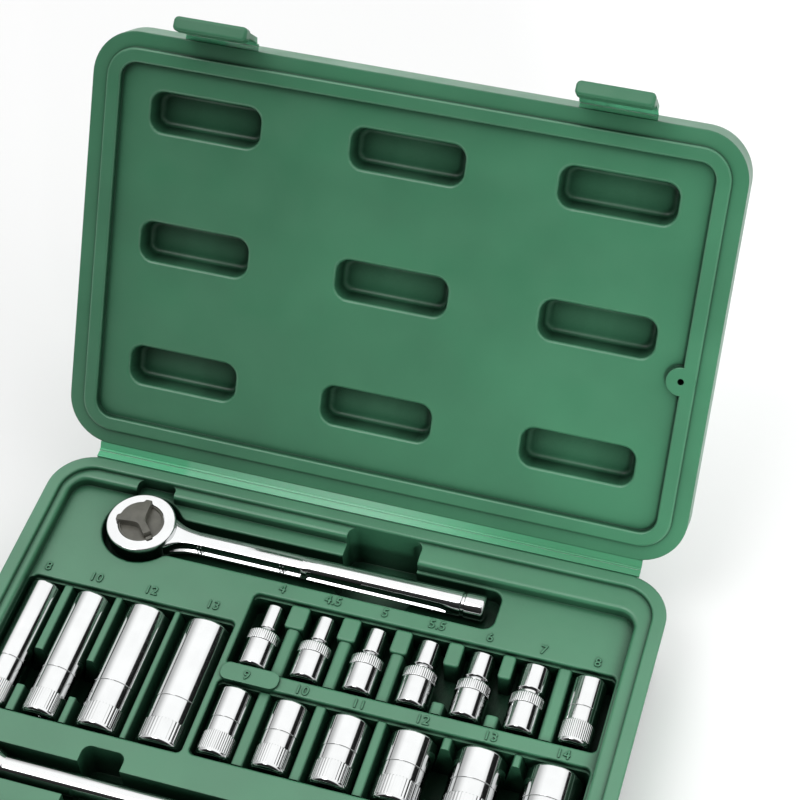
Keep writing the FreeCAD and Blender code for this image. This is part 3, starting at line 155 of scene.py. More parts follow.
# Meshes
TURN_STEPS = 192
RIB_STEPS = 4
SMOOTH_ANGLE = math.radians(32)
DIAL_SMOOTH_ANGLE = math.radians(40)


# Settings that a user would change

class CaseLook(bpy.types.PropertyGroup):
    """Colours of the moulded case."""
    green: FloatVectorProperty(
        name="Case green", description="Main colour of the moulding", subtype="COLOR",
        default=(0.052, 0.205, 0.108), min=0, max=1)
    film: FloatVectorProperty(
        name="Film green", description="Colour of the thin hinge films", subtype="COLOR",
        default=(0.11, 0.46, 0.25), min=0, max=1)
    # Painted sheen: this paler colour is laid along part of the hinge films in place of a
    # reflection of the light.
    pale: FloatVectorProperty(
        name="Bent film", description="Colour where bending has whitened the plastic",
        subtype="COLOR", default=(0.28, 0.55, 0.39), min=0, max=1)
    roughness: FloatProperty(
        name="Roughness", description="Roughness of the moulding", subtype="FACTOR",
        default=0.36, min=0, max=1)


class NumberLook(bpy.types.PropertyGroup):
    """Raised numbers beside the pockets."""
    height: FloatProperty(
        name="Digit size", description="Type size of the numbers", default=0.0048, unit="LENGTH")
    rise: FloatProperty(
        name="Rise", description="How far the digits stand up", default=0.00035, unit="LENGTH")


class ToolLook(bpy.types.PropertyGroup):
    """Finish of the plated tools."""
    chrome: FloatVectorProperty(
        name="Chrome", description="Tint of the plating", subtype="COLOR",
        default=(0.62, 0.63, 0.63), min=0, max=1)
    dial: FloatVectorProperty(
        name="Dial grey", description="Colour of the direction dial", subtype="COLOR",
        default=(0.108, 0.105, 0.088), min=0, max=1)
    knurl_depth: FloatProperty(
        name="Knurl depth", description="Depth of the grip ribs", default=0.00013, unit="LENGTH")


class StageLook(bpy.types.PropertyGroup):
    """Floor, light and camera."""
    floor: FloatVectorProperty(
        name="Floor", description="Colour of the floor", subtype="COLOR",
        default=(0.88, 0.88, 0.88), min=0, max=1)
    lens: FloatProperty(
        name="Lens", description="Focal length in millimetres", default=93.0, min=1,
        unit="CAMERA")
    key_power: FloatProperty(
        name="Key light", description="Strength of the overhead light", default=0.7)
    key_spread: FloatProperty(
        name="Key spread", description="How wide the overhead light is", subtype="ANGLE",
        default=math.radians(26))
    side_power: FloatProperty(
        name="Side light", description="Strength of the light at the front right", default=36.0,
        unit="POWER")
    sky_power: FloatProperty(
        name="Tent", description="Strength of the white tent round the scene", default=1.55)


# Mesh helpers

def finish_mesh(mesh, angle):
    """Turn every face outwards, shade smooth and keep edges sharper than the angle."""
    work = bmesh.new()
    work.from_mesh(mesh)
    bmesh.ops.recalc_face_normals(work, faces=work.faces)
    work.to_mesh(mesh)
    work.free()
    for face in mesh.polygons:
        face.use_smooth = True
    mesh.set_sharp_from_angle(angle=angle)
    mesh.update()


def new_piece(name, mesh, material, body):
    """Add a mesh as a piece that rides on a body."""
    piece = bpy.data.objects.new(name, mesh)
    bpy.context.scene.collection.objects.link(piece)
    mesh.materials.clear()
    mesh.materials.append(material)
    flow = piece.modifiers.new("even_shading", "WEIGHTED_NORMAL")
    flow.keep_sharp = True
    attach(piece, body)
    return piece


def radius_at(kind, size, index):
    """Distance from the axis at one step of a ring: round, knurled, hexagon or square."""
    turn = 2 * math.pi * index / TURN_STEPS
    if kind == "knurl":
        groove = index % RIB_STEPS == RIB_STEPS - 1
        return size - (bpy.context.scene.socket_tools.knurl_depth / MM if groove else 0)
    if kind == "hexagon":
        sector = math.pi / 3
        return size / math.cos(turn % sector - sector / 2)
    if kind == "square":
        return size / max(abs(math.cos(turn)), abs(math.sin(turn)))
    return size


def ring_faces(count, steps, closed=False):
    """List the faces between neighbouring rings, and from the last to the first if closed."""
    faces = []
    for ring in range(count if closed else count - 1):
        low, high = ring * steps, (ring + 1) % count * steps
        for index in range(steps):
            following = (index + 1) % steps
            faces.append((low + index, low + following, high + following, high + index))
    return faces


def skinned(name, corners, faces, angle=SMOOTH_ANGLE):
    """Make a finished mesh of corners and faces."""
    mesh = bpy.data.meshes.new(name)
    mesh.from_pydata(corners, [], faces)
    finish_mesh(mesh, angle)
    return mesh


def turned_mesh(name, rings, place):
    """Skin a closed loop of rings, each (kind, size, height), and put it in place."""
    corners = []
    for kind, size, height in rings:
        for index in range(TURN_STEPS):
            turn = 2 * math.pi * index / TURN_STEPS
            reach = radius_at(kind, size, index)
            spot = Vector((reach * math.cos(turn), reach * math.sin(turn), height))
            corners.append((place @ spot) * MM)
    return skinned(name, corners, ring_faces(len(rings), TURN_STEPS, closed=True))


def rounded_corner(start, end, bulge, steps=4):
    """List the points of a quarter round between two (radius, height), bulging to a corner."""
    points = []
    for step in range(steps + 1):
        share = step / steps
        keep = (1 - share) ** 2
        lean = 2 * share * (1 - share)
        reach = share ** 2
        points.append(tuple(keep * a + lean * b + reach * c for a, b, c in zip(start, bulge, end)))
    return points


def round_rings(points):
    """Make round rings of (radius, height) points."""
    return [("round", radius, height) for radius, height in points]


def turned_from(radius, start, profile):
    """Make round rings of a profile of (inset, place) that starts at a radius and a place."""
    return [("round", radius - inset, start + along) for inset, along in profile]


# Materials

def new_material(name):
    """Start a node material and return it with its tree and shader."""
    material = bpy.data.materials.new(name)
    material.use_nodes = True
    tree = material.node_tree
    shader = tree.nodes["Principled BSDF"]
    return material, tree, shader


def noise(tree, scale, detail=4.0, stretch=None):
    """Add object-space noise, stretched along axes if asked."""
    place = tree.nodes.new("ShaderNodeTexCoord")
    node = tree.nodes.new("ShaderNodeTexNoise")
    node.inputs["Scale"].default_value = scale
    node.inputs["Detail"].default_value = detail
    if stretch is None:
        tree.links.new(place.outputs["Object"], node.inputs["Vector"])
        return node
    mapping = tree.nodes.new("ShaderNodeMapping")
    mapping.inputs["Scale"].default_value = stretch
    tree.links.new(place.outputs["Object"], mapping.inputs["Vector"])
    tree.links.new(mapping.outputs["Vector"], node.inputs["Vector"])
    return node


def between(tree, source, low, high, socket):
    """Map a noise factor to a range and feed it to a socket."""
    node = tree.nodes.new("ShaderNodeMapRange")
    node.inputs["From Min"].default_value = NOISE_LOW
    node.inputs["From Max"].default_value = NOISE_HIGH
    node.inputs["To Min"].default_value = low
    node.inputs["To Max"].default_value = high
    tree.links.new(source.outputs["Fac"], node.inputs["Value"])
    tree.links.new(node.outputs["Result"], socket)


def tinted(tree, source, dark, light, socket=None):
    """Mix two colours by a noise factor, feed the mix to a socket if given, and return it."""
    ramp = tree.nodes.new("ShaderNodeValToRGB")
    ramp.color_ramp.elements[0].position = NOISE_LOW
    ramp.color_ramp.elements[1].position = NOISE_HIGH
    ramp.color_ramp.elements[0].color = (*dark, 1)
    ramp.color_ramp.elements[1].color = (*light, 1)
    tree.links.new(source.outputs["Fac"], ramp.inputs["Fac"])
    if socket is not None:
        tree.links.new(ramp.outputs["Color"], socket)
    return ramp.outputs["Color"]


def bumped(tree, source, strength, distance, under=None):
    """Add a bump by a noise factor on top of another normal, if one is given."""
    bump = tree.nodes.new("ShaderNodeBump")
    bump.inputs["Strength"].default_value = strength
    bump.inputs["Distance"].default_value = distance
    tree.links.new(source.outputs["Fac"], bump.inputs["Height"])
    if under is not None:
        tree.links.new(under, bump.inputs["Normal"])
    return bump.outputs["Normal"]


def grained(tree, shader, source, strength, distance):
    """Add fine grain to the surface."""
    tree.links.new(bumped(tree, source, strength, distance), shader.inputs["Normal"])


def moulded_surface(tree, shader):
    """Soften the edges of moulded plastic and give it a slightly wavy, finely grained surface."""
    soften = tree.nodes.new("ShaderNodeBevel")
    soften.samples = 6
    soften.inputs["Radius"].default_value = 0.0006
    waves = noise(tree, scale=42.0, detail=3.0)
    wavy = bumped(tree, waves, 0.25, 0.0012, soften.outputs["Normal"])
    grain = bumped(tree, noise(tree, scale=1500.0, detail=3.0), 0.14, 0.0001, wavy)
    tree.links.new(grain, shader.inputs["Normal"])


def multiplied_colour(tree, first, second):
    """Multiply two colours."""
    blend = tree.nodes.new("ShaderNodeMix")
    blend.data_type = "RGBA"
    blend.blend_type = "MULTIPLY"
    blend.inputs["Factor"].default_value = 1.0
    tree.links.new(first, blend.inputs["A"])
    tree.links.new(second, blend.inputs["B"])
    return blend.outputs["Result"]


def painted_recess_shade(tree, shader, colour, gloss):
    """Paint shade into a colour and dull its gloss where walls close by hide the surface."""
    occlusion_for_shade = tree.nodes.new("ShaderNodeAmbientOcclusion")
    occlusion_for_shade.samples = 8
    occlusion_for_shade.inputs["Distance"].default_value = PAINTED_SHADE_REACH
    depth = tree.nodes.new("ShaderNodeValToRGB")
    hidden, clear = depth.color_ramp.elements
    hidden.position, hidden.color = PAINTED_SHADE_HIDDEN, (PAINTED_SHADE_DARKEST, PAINTED_SHADE_DARKEST, PAINTED_SHADE_DARKEST, 1)
    clear.position, clear.color = PAINTED_SHADE_OPEN, (1, 1, 1, 1)
    tree.links.new(occlusion_for_shade.outputs["AO"], depth.inputs["Fac"])
    shade_painted_colour = multiplied_colour(tree, colour, depth.outputs["Color"])
    tree.links.new(shade_painted_colour, shader.inputs["Base Color"])
    shade_dulled_gloss = tree.nodes.new("ShaderNodeMapRange")
    shade_dulled_gloss.inputs["From Min"].default_value = PAINTED_SHADE_HIDDEN
    shade_dulled_gloss.inputs["From Max"].default_value = PAINTED_SHADE_OPEN
    shade_dulled_gloss.inputs["To Min"].default_value = PAINTED_SHADE_GLOSS
    shade_dulled_gloss.inputs["To Max"].default_value = gloss
    tree.links.new(occlusion_for_shade.outputs["AO"], shade_dulled_gloss.inputs["Value"])
    tree.links.new(shade_dulled_gloss.outputs["Result"], shader.inputs["Specular IOR Level"])


def shade(colour, share):
    """Scale a colour."""
    return tuple(min(1.0, part * share) for part in colour)


def moulding_gloss(tree, shader, roughness):
    """Vary the roughness of a moulding a little over its surface."""
    between(tree, noise(tree, 60.0), roughness - 0.05, roughness + 0.06, shader.inputs["Roughness"])


def moulded_green():
    """Blow-moulded green plastic: faint mottling, fine grain, soft edges, painted shade in
    recesses.
    """
    look = bpy.context.scene.socket_case
    material, tree, shader = new_material("moulded_green")
    clouds = noise(tree, scale=26.0, detail=6.0)
    mottle = tinted(tree, clouds, shade(look.green, 0.90), shade(look.green, 1.10))
    # Painted shade: ambient occlusion darkens the colour and dulls the gloss in pockets, slots and
    # gaps.
    painted_recess_shade(tree, shader, mottle, 0.8)
    moulding_gloss(tree, shader, look.roughness)
    moulded_surface(tree, shader)
    return material


def stretched_between(tree, source, start, end):
    """Ramp from 0 to 1 while a number goes from start to end."""
    node = tree.nodes.new("ShaderNodeMapRange")
    node.interpolation_type = "SMOOTHSTEP"
    node.inputs["From Min"].default_value = start
    node.inputs["From Max"].default_value = end
    tree.links.new(source, node.inputs["Value"])
    return node.outputs["Result"]


def multiplied(tree, first, second):
    """Multiply two numbers."""
    node = tree.nodes.new("ShaderNodeMath")
    node.operation = "MULTIPLY"
    tree.links.new(first, node.inputs[0])
    tree.links.new(second, node.inputs[1])
    return node.outputs["Value"]


def whitened(tree, amount, plain, pale, socket=None):
    """Fade from a plain colour to a whitened one, feed it to a socket if given, and return it."""
    ramp = tree.nodes.new("ShaderNodeValToRGB")
    ramp.color_ramp.elements[0].color = (*plain, 1)
    ramp.color_ramp.elements[1].color = (*pale, 1)
    tree.links.new(amount, ramp.inputs["Fac"])
    if socket is not None:
        tree.links.new(ramp.outputs["Color"], socket)
    return ramp.outputs["Color"]


def film_green():
    """Thin pressed film: paler, lets light through, with a painted sheen along part of the hinge.
    """
    look = bpy.context.scene.socket_case
    sharp, fade, thick_from, thick_to = 3.0, 70.0, -60.0, 20.0
    material, tree, shader = new_material("film_green")
    place = tree.nodes.new("ShaderNodeTexCoord")
    split = tree.nodes.new("ShaderNodeSeparateXYZ")
    tree.links.new(place.outputs["Object"], split.inputs["Vector"])
    along = split.outputs["X"]
    # Painted sheen: a paler band between these places, broken into streaks, stands in for a
    # reflection on the films.
    left = stretched_between(tree, along, FILM_SHEEN_FROM * MM, (FILM_SHEEN_FROM + sharp) * MM)
    right = stretched_between(tree, along, FILM_SHEEN_TO * MM, (FILM_SHEEN_TO - fade) * MM)
    streaks = noise(tree, scale=55.0, detail=5.0, stretch=(0.12, 1.0, 1.0))
    patchy = stretched_between(tree, streaks.outputs["Fac"], 0.15, 0.75)
    amount = multiplied(tree, multiplied(tree, left, right), patchy)
    thick = stretched_between(tree, along, (FILM_SHEEN_TO + thick_from) * MM,
                              (FILM_SHEEN_TO + thick_to) * MM)
    plain = whitened(tree, thick, look.film, shade(look.green, 1.35))
    pale = tree.nodes.new("ShaderNodeMix")
    pale.data_type = "RGBA"
    pale.inputs["B"].default_value = (*look.pale, 1)
    tree.links.new(amount, pale.inputs["Factor"])
    tree.links.new(plain, pale.inputs["A"])
    tree.links.new(pale.outputs["Result"], shader.inputs["Base Color"])
    between(tree, noise(tree, 200.0), 0.28, 0.4, shader.inputs["Roughness"])
    grained(tree, shader, noise(tree, 900.0), 0.1, 0.0001)
    shader.inputs["Subsurface Weight"].default_value = 0.3
    shader.inputs["Subsurface Radius"].default_value = (0.001, 0.003, 0.002)
    return material


def latch_green():
    """Plastic of the latches: the case's green, whitened beside the fold."""
    look = bpy.context.scene.socket_case
    whitened_reach, whitest_reach = 7.5, 2.0
    material, tree, shader = new_material("latch_green")
    place = tree.nodes.new("ShaderNodeTexCoord")
    flatten = tree.nodes.new("ShaderNodeMapping")
    flatten.inputs["Scale"].default_value = (0.0, 1.0, 1.0)
    apart = tree.nodes.new("ShaderNodeVectorMath")
    apart.operation = "DISTANCE"
    apart.inputs[1].default_value = LATCH_FOLD * MM
    tree.links.new(place.outputs["Object"], flatten.inputs["Vector"])
    tree.links.new(flatten.outputs["Vector"], apart.inputs[0])
    near = stretched_between(tree, apart.outputs["Value"], whitened_reach * MM, whitest_reach * MM)
    patchy = stretched_between(tree, noise(tree, 140.0).outputs["Fac"], 0.1, 0.7)
    amount = multiplied(tree, near, patchy)
    whitened(tree, amount, shade(look.green, 0.9), look.film, shader.inputs["Base Color"])
    moulding_gloss(tree, shader, look.roughness)
    moulded_surface(tree, shader)
    shader.inputs["Specular IOR Level"].default_value = 0.35
    return material


def bright_chrome():
    """Mirror plating with faint polishing marks."""
    tint = bpy.context.scene.socket_tools.chrome
    material, tree, shader = new_material("bright_chrome")
    cloud = noise(tree, scale=120.0, detail=3.0)
    tinted(tree, cloud, shade(tint, 0.97), shade(tint, 1.03), shader.inputs["Base Color"])
    marks = noise(tree, scale=400.0, detail=3.0)
    between(tree, marks, 0.05, 0.11, shader.inputs["Roughness"])
    grained(tree, shader, noise(tree, scale=2500.0, detail=2.0), 0.015, 0.00005)
    shader.inputs["Metallic"].default_value = 1.0
    return material


def dial_grey():
    """Warm dark plastic of the direction dial."""
    grey = bpy.context.scene.socket_tools.dial
    material, tree, shader = new_material("dial_grey")
    cloud = noise(tree, 300.0)
    tinted(tree, cloud, shade(grey, 0.85), shade(grey, 1.2), shader.inputs["Base Color"])
    between(tree, noise(tree, 700.0), 0.32, 0.45, shader.inputs["Roughness"])
    grained(tree, shader, noise(tree, 3000.0), 0.15, 0.00008)
    return material


def oiled_steel():
    """Dull steel of the pieces inside the ratchet's head and of the springs."""
    dark, light = (0.28, 0.28, 0.29), (0.42, 0.42, 0.43)
    material, tree, shader = new_material("oiled_steel")
    tinted(tree, noise(tree, 500.0), dark, light, shader.inputs["Base Color"])
    between(tree, noise(tree, 900.0), 0.25, 0.4, shader.inputs["Roughness"])
    grained(tree, shader, noise(tree, 4000.0), 0.1, 0.00005)
    shader.inputs["Metallic"].default_value = 1.0
    return material


def finish(name):
    """Give a finish by name, made once in a file."""
    made = bpy.data.materials.get(name)
    if made is None or "made_here" not in made:
        made = FINISHES[name]()
        made["made_here"] = True
    return made


FINISHES = {"moulded_green": moulded_green, "film_green": film_green, "latch_green": latch_green,
            "bright_chrome": bright_chrome, "dial_grey": dial_grey, "oiled_steel": oiled_steel}


def paint_node(node, name):
    """Give a carried-over solid one of the finishes."""
    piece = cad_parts[node]
    piece.data.materials.clear()
    piece.data.materials.append(finish(name))


# Sockets and bars

def socket_place(node):
    """Work out where a socket lies: nose at its own origin, turned to point at the hinge."""
    low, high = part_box(node)
    middle = (low + high) / 2 / MM
    lie = Matrix(((1, 0, 0), (0, 0, -1), (0, 1, 0)))
    return Matrix.Translation((middle.x, high.y / MM, middle.z)) @ lie.to_4x4()


def square_mouth(length):
    """Rings of the square drive hole, from its flared mouth past the ball's groove to the bore."""
    half = SQUARE_HOLE / 2
    floor = length - SQUARE_DEPTH
    groove, groove_start, groove_end, slope = 0.25, 3.6, 5.6, 0.3
    return [
        ("square", half + SQUARE_FLARE, length),
        ("square", half, length - FLARE_DEPTH),
        ("square", half, length - groove_start),
        ("square", half + groove, length - groove_start - slope),
        ("square", half + groove, length - groove_end + slope),
        ("square", half, length - groove_end),
        ("square", half, floor + SHARP_STEP),
        ("round", BORE, floor),
    ]


def hexagon_mouth(across, depth):
    """Rings of the hexagon hole, from the bore out to its flared mouth."""
    slack, flare = 0.1, 0.3
    half = (across + slack) / 2
    return [
        ("round", BORE, depth),
        ("hexagon", half, depth - SHARP_STEP),
        ("hexagon", half, FLARE_DEPTH),
        ("hexagon", half + flare, 0.0),
    ]


def knurl_band(radius, start, end):
    """Rings of a band of grip ribs with run-outs at both ends."""
    depth = bpy.context.scene.socket_tools.knurl_depth / MM
    return [
        ("round", radius - depth, start),
        ("knurl", radius, start + RUN_OUT),
        ("knurl", radius, end - RUN_OUT),
        ("round", radius - depth, end),
    ]


def small_socket_rings(key):
    """Rings of a socket with a thin nose, an undercut neck and a knurled collar."""
    nose = OUTER[key] / 2
    across = float(key.replace("_", "."))
    slope, collar_slope = 0.12, 0.15
    outside = round_rings(rounded_corner((nose - 0.35, 0), (nose, 0.4), (nose, 0)))
    outside += turned_from(nose, NOSE_LENGTH, NOSE_TAIL)
    outside += round_rings([(nose - NECK_CUT, NECK_END - slope)])
    outside += turned_from(SMALL_COLLAR, NECK_END, COLLAR_FRONT)
    outside += knurl_band(SMALL_COLLAR, NECK_END + COLLAR_BAND, COLLAR_END)
    outside += round_rings([(SMALL_BODY, COLLAR_END + collar_slope)])
    outside += turned_from(SMALL_BODY, SOCKET_LENGTH, DRIVE_END)
    return outside + square_mouth(SOCKET_LENGTH) + hexagon_mouth(across, NOSE_LENGTH)


def plain_socket_rings(key, length, line_share, band):
    """Rings of a straight socket: smooth nose, fine turned line, waist, grip ribs and drive end."""
    radius = OUTER[key] / 2
    ribs = length - band
    band_margin, end_drop = 1.5, 0.02
    outside = round_rings(rounded_corner((radius - 0.8, 0), (radius, 0.9), (radius, 0)))
    outside += turned_from(radius, length * line_share, TURNED_LINE)
    outside += round_rings([(radius - WAIST, ribs - RUN_OUT)])
    outside += knurl_band(radius, ribs, length - band_margin)
    outside += turned_from(radius - end_drop, length, DRIVE_END)
    depth = length * HEX_SHARE
    return outside + square_mouth(length) + hexagon_mouth(float(key), depth)


def make_tool(node, rings, place):
    """Make one turned tool in place of its solid."""
    name = node + "_turned"
    mesh = turned_mesh(name, rings, place)
    piece = new_piece(name, mesh, finish("bright_chrome"), node + "_body")
    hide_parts(node)


def make_socket(node, rings):
    """Make one socket in its pocket."""
    make_tool(node, rings, socket_place(node))


def bar_rings(length):
    """Rings of an extension bar: socket end, slim shank, collar, square drive and square hole."""
    collar = length - BAR_DRIVE
    drive = DRIVE_SQUARE / 2
    hole = SQUARE_HOLE / 2
    tip_length, tip_cut, core_gap = 0.7, 0.5, 0.01
    outside = round_rings(BAR_MOUTH) + knurl_band(BAR_RADIUS, *BAR_BAND)
    outside += round_rings(BAR_SHOULDER)
    outside += round_rings([(radius, collar + along) for radius, along in BAR_COLLAR])
    outside += [
        ("square", drive, collar + BAR_COLLAR[-1][1]),
        ("square", drive, length - tip_length),
        ("square", drive - tip_cut, length),
        ("round", BAR_BORE, length),
    ]
    inside = [
        ("round", BAR_BORE, length - core_gap),
        ("round", BAR_BORE, SQUARE_DEPTH),
        ("square", hole, SQUARE_DEPTH - SHARP_STEP),
        ("square", hole, FLARE_DEPTH),
        ("square", hole + SQUARE_FLARE, 0.0),
    ]
    return outside + inside


def make_bar(node, length):
    """Make one extension bar in its trough, with its square drive to the right."""
    low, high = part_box(node)
    middle = (low + high) / 2 / MM
    lie = Matrix(((0, 0, 1), (0, 1, 0), (-1, 0, 0)))
    place = Matrix.Translation((low.x / MM, middle.y, middle.z)) @ lie.to_4x4()
    make_tool(node, bar_rings(length), place)


# Ratchet wrench

def head_rings():
    """Rings of the ratchet's round head with the dial's recess above and the anvil's below."""
    outer, top = HEAD_RADIUS, HEAD_HEIGHT
    seat, seat_depth, gear, roof = 9.7, 0.8, 8.5, 7.6
    stem, dial, dial_floor = 3.9, 8.3, 8.4
    outside = round_rings([(seat, 0), (outer - 1.0, 0)])
    outside += round_rings(rounded_corner((outer - 0.9, 0), (outer, 0.9), (outer, 0)))
    outside += round_rings(rounded_corner((outer, top - 0.7), (outer - 0.6, top), (outer, top)))
    outside += round_rings([(dial + 0.2, top), (dial + 0.05, top - 0.06), (dial, top - 0.2)])
    inside = [(dial, dial_floor), (stem, dial_floor), (stem, roof), (gear, roof)]
    inside += [(gear, seat_depth), (seat, seat_depth)]
    return outside + round_rings(inside)


def ledge_ribs(start, height, square):
    """List the sections of two narrow ribs that stand across the ledge on the handle's sides."""
    rib, pitch, wall = 0.5, 1.2, 0.02
    sections = []
    for left in (start, start + pitch):
        right = left + rib
        for x, cut in ((left, LEDGE), (left + wall, 0.0), (right - wall, 0.0), (right, LEDGE)):
            sections.append((x, NECK_WIDTH, height, square, cut))
    return sections


def neck_sections():
    """List the sections of the neck, which flares out to the head."""
    flare, start, end = 20.0, 10.6, 21.5
    sections = []
    for x in (start, 11.6, 12.8, 14.0, 15.4, 17.0, 18.6, 20.2, end):
        width = NECK_WIDTH + flare - math.sqrt(flare ** 2 - (end - x) ** 2)
        share = (x - start) / (end - start)
        height = 3.5 + 0.05 * share
        square = 5.0 - 1.7 * share
        sections.append((x, width, height, square, LEDGE * min(1.0, 2.5 * share)))
    return sections


def grip_sections():
    """List the sections of the round grip, with a long groove in each side, and of its end knob."""
    length, steps, thin, swell = 54.9, 24, 4.1, 0.4
    groove_end, groove_fade = 116.5, 4.5
    sections = list(GRIP_SHOULDER)
    for step in range(1, steps + 1):
        share = step / steps
        radius = thin + swell * share
        x = GRIP_START + length * share
        fade = min(1.0, max(0.0, (groove_end - x) / groove_fade))
        sections.append((x, radius, radius, ROUND, LEDGE * fade))
    return sections + [(x, radius, radius, ROUND, 0.0) for x, radius in KNOB]


def handle_sections():
    """List the handle's sections: place along it, half width, half height, squareness and ledge."""
    start, length, steps = 24.4, 28.2, 14
    sections = neck_sections() + ledge_ribs(22.2, 3.56, 3.2)
    for step in range(steps + 1):
        sections.append((start + length * step / steps, NECK_WIDTH, 3.6, 3.1, LEDGE))
    sections += ledge_ribs(53.1, 3.62, 3.0)
    sections.append((57.5, NECK_WIDTH, 3.64, 2.9, LEDGE))
    return sections + grip_sections()


def section_angles(height, square, steps):
    """List the angles round a section, two on each side moved to the ledge's edges."""
    angles = [2 * math.pi * index / steps for index in range(steps)]
    levels = (LEDGE_FOOT, LEDGE_LEVEL)
    low, high = (math.asin((-level / height) ** (square / 2)) for level in levels)
    first = round(-low * steps / (2 * math.pi))
    last = round((math.pi + low) * steps / (2 * math.pi))
    angles[first % steps], angles[(first + 1) % steps] = -low, -high
    angles[last], angles[last - 1] = math.pi + low, math.pi + high
    return angles


def handle_mesh():
    """Loft the handle through its sections and close both ends."""
    steps = HANDLE_STEPS
    level_slack = 0.01
    corners = []
    sections = handle_sections()
    for x, width, height, square, cut in sections:
        for turn in section_angles(height, square, steps):
            c, s = math.cos(turn), math.sin(turn)
            y = width * math.copysign(abs(c) ** (2 / square), c)
            z = height * math.copysign(abs(s) ** (2 / square), s)
            if z > LEDGE_LEVEL - level_slack:
                y = math.copysign(min(abs(y), width - cut), y)
            corners.append((HEAD + Vector((x, y, z + HANDLE_HEIGHT))) * MM)
    count = len(sections)
    ends = [tuple(range(steps)), tuple(range((count - 1) * steps, count * steps))]
    return skinned("ratchet_shaft", corners, ring_faces(count, steps) + ends)


def degrees_apart(first, second):
    """Angle between two directions round the dial."""
    return abs((first - second + 180) % 360 - 180)


def soft_step(off, width, softness):
    """Fall from 1 to 0 as an angle grows past a width."""
    return 1 / (1 + math.exp((off - width) / softness))


def fan_radius(turn):
    """Distance from the dial's axis to the edge of its raised part at one angle in degrees."""
    fan_from, fan_to, fan = 92.0, 186.0, 7.9
    reach, arm, arm_end, waist, blend = 8.95, 1.35, 6.5, 1.3, 5
    if fan_from <= turn <= fan_to:
        off = min(turn - fan_from, fan_to - turn)
        return fan + (reach - fan) * soft_step(off, 8.0, 1.2)
    sides = []
    for edge, limit in ((fan_from, reach), (fan_to, reach), (THUMB_TURN, arm_end)):
        off = degrees_apart(turn, edge)
        sides.append(min(arm / max(math.sin(math.radians(min(off, 90))), 0.1), limit))
    mixed = (sum(side ** blend for side in sides) + waist ** blend) ** (1 / blend)
    return min(mixed, reach)


def thumb_tab(turn):
    """Say how far the low tab at the thumb arm's end stands out at one angle, from 0 to 1."""
    return soft_step(degrees_apart(turn, THUMB_TURN), 9.0, 1.0)


def dial_profile(turn):
    """List (radius, height) up one side of the dial, from its underside to its raised top."""
    hole, rim, floor, top, soft, brink = 2.4, 8.1, 0.7, 3.5, 0.2, 2.05
    fan_edge, low_lip, high_lip, tab_reach = 7.6, 1.7, 2.45, 0.75
    fan = fan_radius(turn)
    tab = thumb_tab(turn)
    if fan < fan_edge:
        lip = low_lip + (high_lip - low_lip) * tab
        reach = rim + tab_reach * tab
        foot = brink * tab + lip * (1 - tab)
        side = [(rim, foot - 0.1), (reach, lip - 0.1), (reach - 0.15, lip), (rim - 0.5, lip)]
        side += [(rim - 0.75, floor + 0.2), (max(fan, 0.5) + soft, floor)]
    else:
        side = [(rim, 1.8), (min(fan, rim), brink)]
        side += [(fan, brink + rise) for rise in (0.1, 0.2, 0.3, 0.4)]
    crown = [(fan, top - 0.3), (fan - 0.1, top - 0.1), (fan - 0.35, top)]
    crown.append((max(fan - 1.2, 0.4) * 0.6, top))
    return [(hole, 0.0), (rim - 0.1, 0.0), (rim, 0.1)] + side + crown


def dial_mesh():
    """Make the dial's disc with its raised fan and thumb arm in one mesh."""
    steps = DIAL_STEPS
    centre = HEAD + Vector((0, 0, DIAL_SEAT))
    angles = [360.0 * index / steps for index in range(steps)]
    profiles = [dial_profile(angle) for angle in angles]
    count = len(profiles[0])
    corners = []
    for ring in range(count):
        for angle, profile in zip(angles, profiles):
            turn = math.radians(angle)
            size, height = profile[ring]
            spot = Vector((size * math.cos(turn), size * math.sin(turn), height))
            corners.append((centre + spot) * MM)
    ends = [tuple(range((count - 1) * steps, count * steps)), tuple(range(steps))]
    return skinned("dial_fan", corners, ring_faces(count, steps) + ends, DIAL_SMOOTH_ANGLE)


# Numbers

def number_mesh(text, x, y, z):
    """Shape one raised number and lay it on the tray."""
    look = bpy.context.scene.socket_numbers
    curve = bpy.data.curves.new("number", "FONT")
    curve.body = text
    curve.size = look.height
    curve.align_x = "CENTER"
    curve.align_y = "CENTER"
    curve.extrude = look.rise / 2
    curve.bevel_depth = NUMBER_EDGE
    curve.bevel_resolution = 2
    curve.space_character = 1.05
    holder = bpy.data.objects.new("number", curve)
    bpy.context.scene.collection.objects.link(holder)
    bpy.context.view_layer.update()
    graph = bpy.context.evaluated_depsgraph_get()
    mesh = bpy.data.meshes.new_from_object(holder.evaluated_get(graph))
    bpy.data.objects.remove(holder)
    bpy.data.curves.remove(curve)
    mesh.transform(Matrix.Translation((x * MM, y * MM, z * MM + look.rise / 2)))
    return mesh


# Stage

def stage_piece(name, corners, faces, material):
    """Add a mesh that belongs to the stage."""
    mesh = bpy.data.meshes.new(name)
    mesh.from_pydata(corners, [], faces)
    mesh.materials.append(material)
    piece = bpy.data.objects.new(name, mesh)
    bpy.context.scene.collection.objects.link(piece)
    return piece


def lay_floor():
    """Lay a wide pale floor under the case."""
    colour = bpy.context.scene.socket_stage.floor
    half = 4.0
    material, tree, shader = new_material("pale_floor")
    cloud = noise(tree, 3.0)
    tinted(tree, cloud, shade(colour, 0.99), shade(colour, 1.01), shader.inputs["Base Color"])
    shader.inputs["Roughness"].default_value = 0.8
    shader.inputs["Specular IOR Level"].default_value = 0.2
    corners = [(-half, -half, 0), (half, -half, 0), (half, half, 0), (-half, half, 0)]
    floor = stage_piece("floor", corners, [(0, 1, 2, 3)], material)


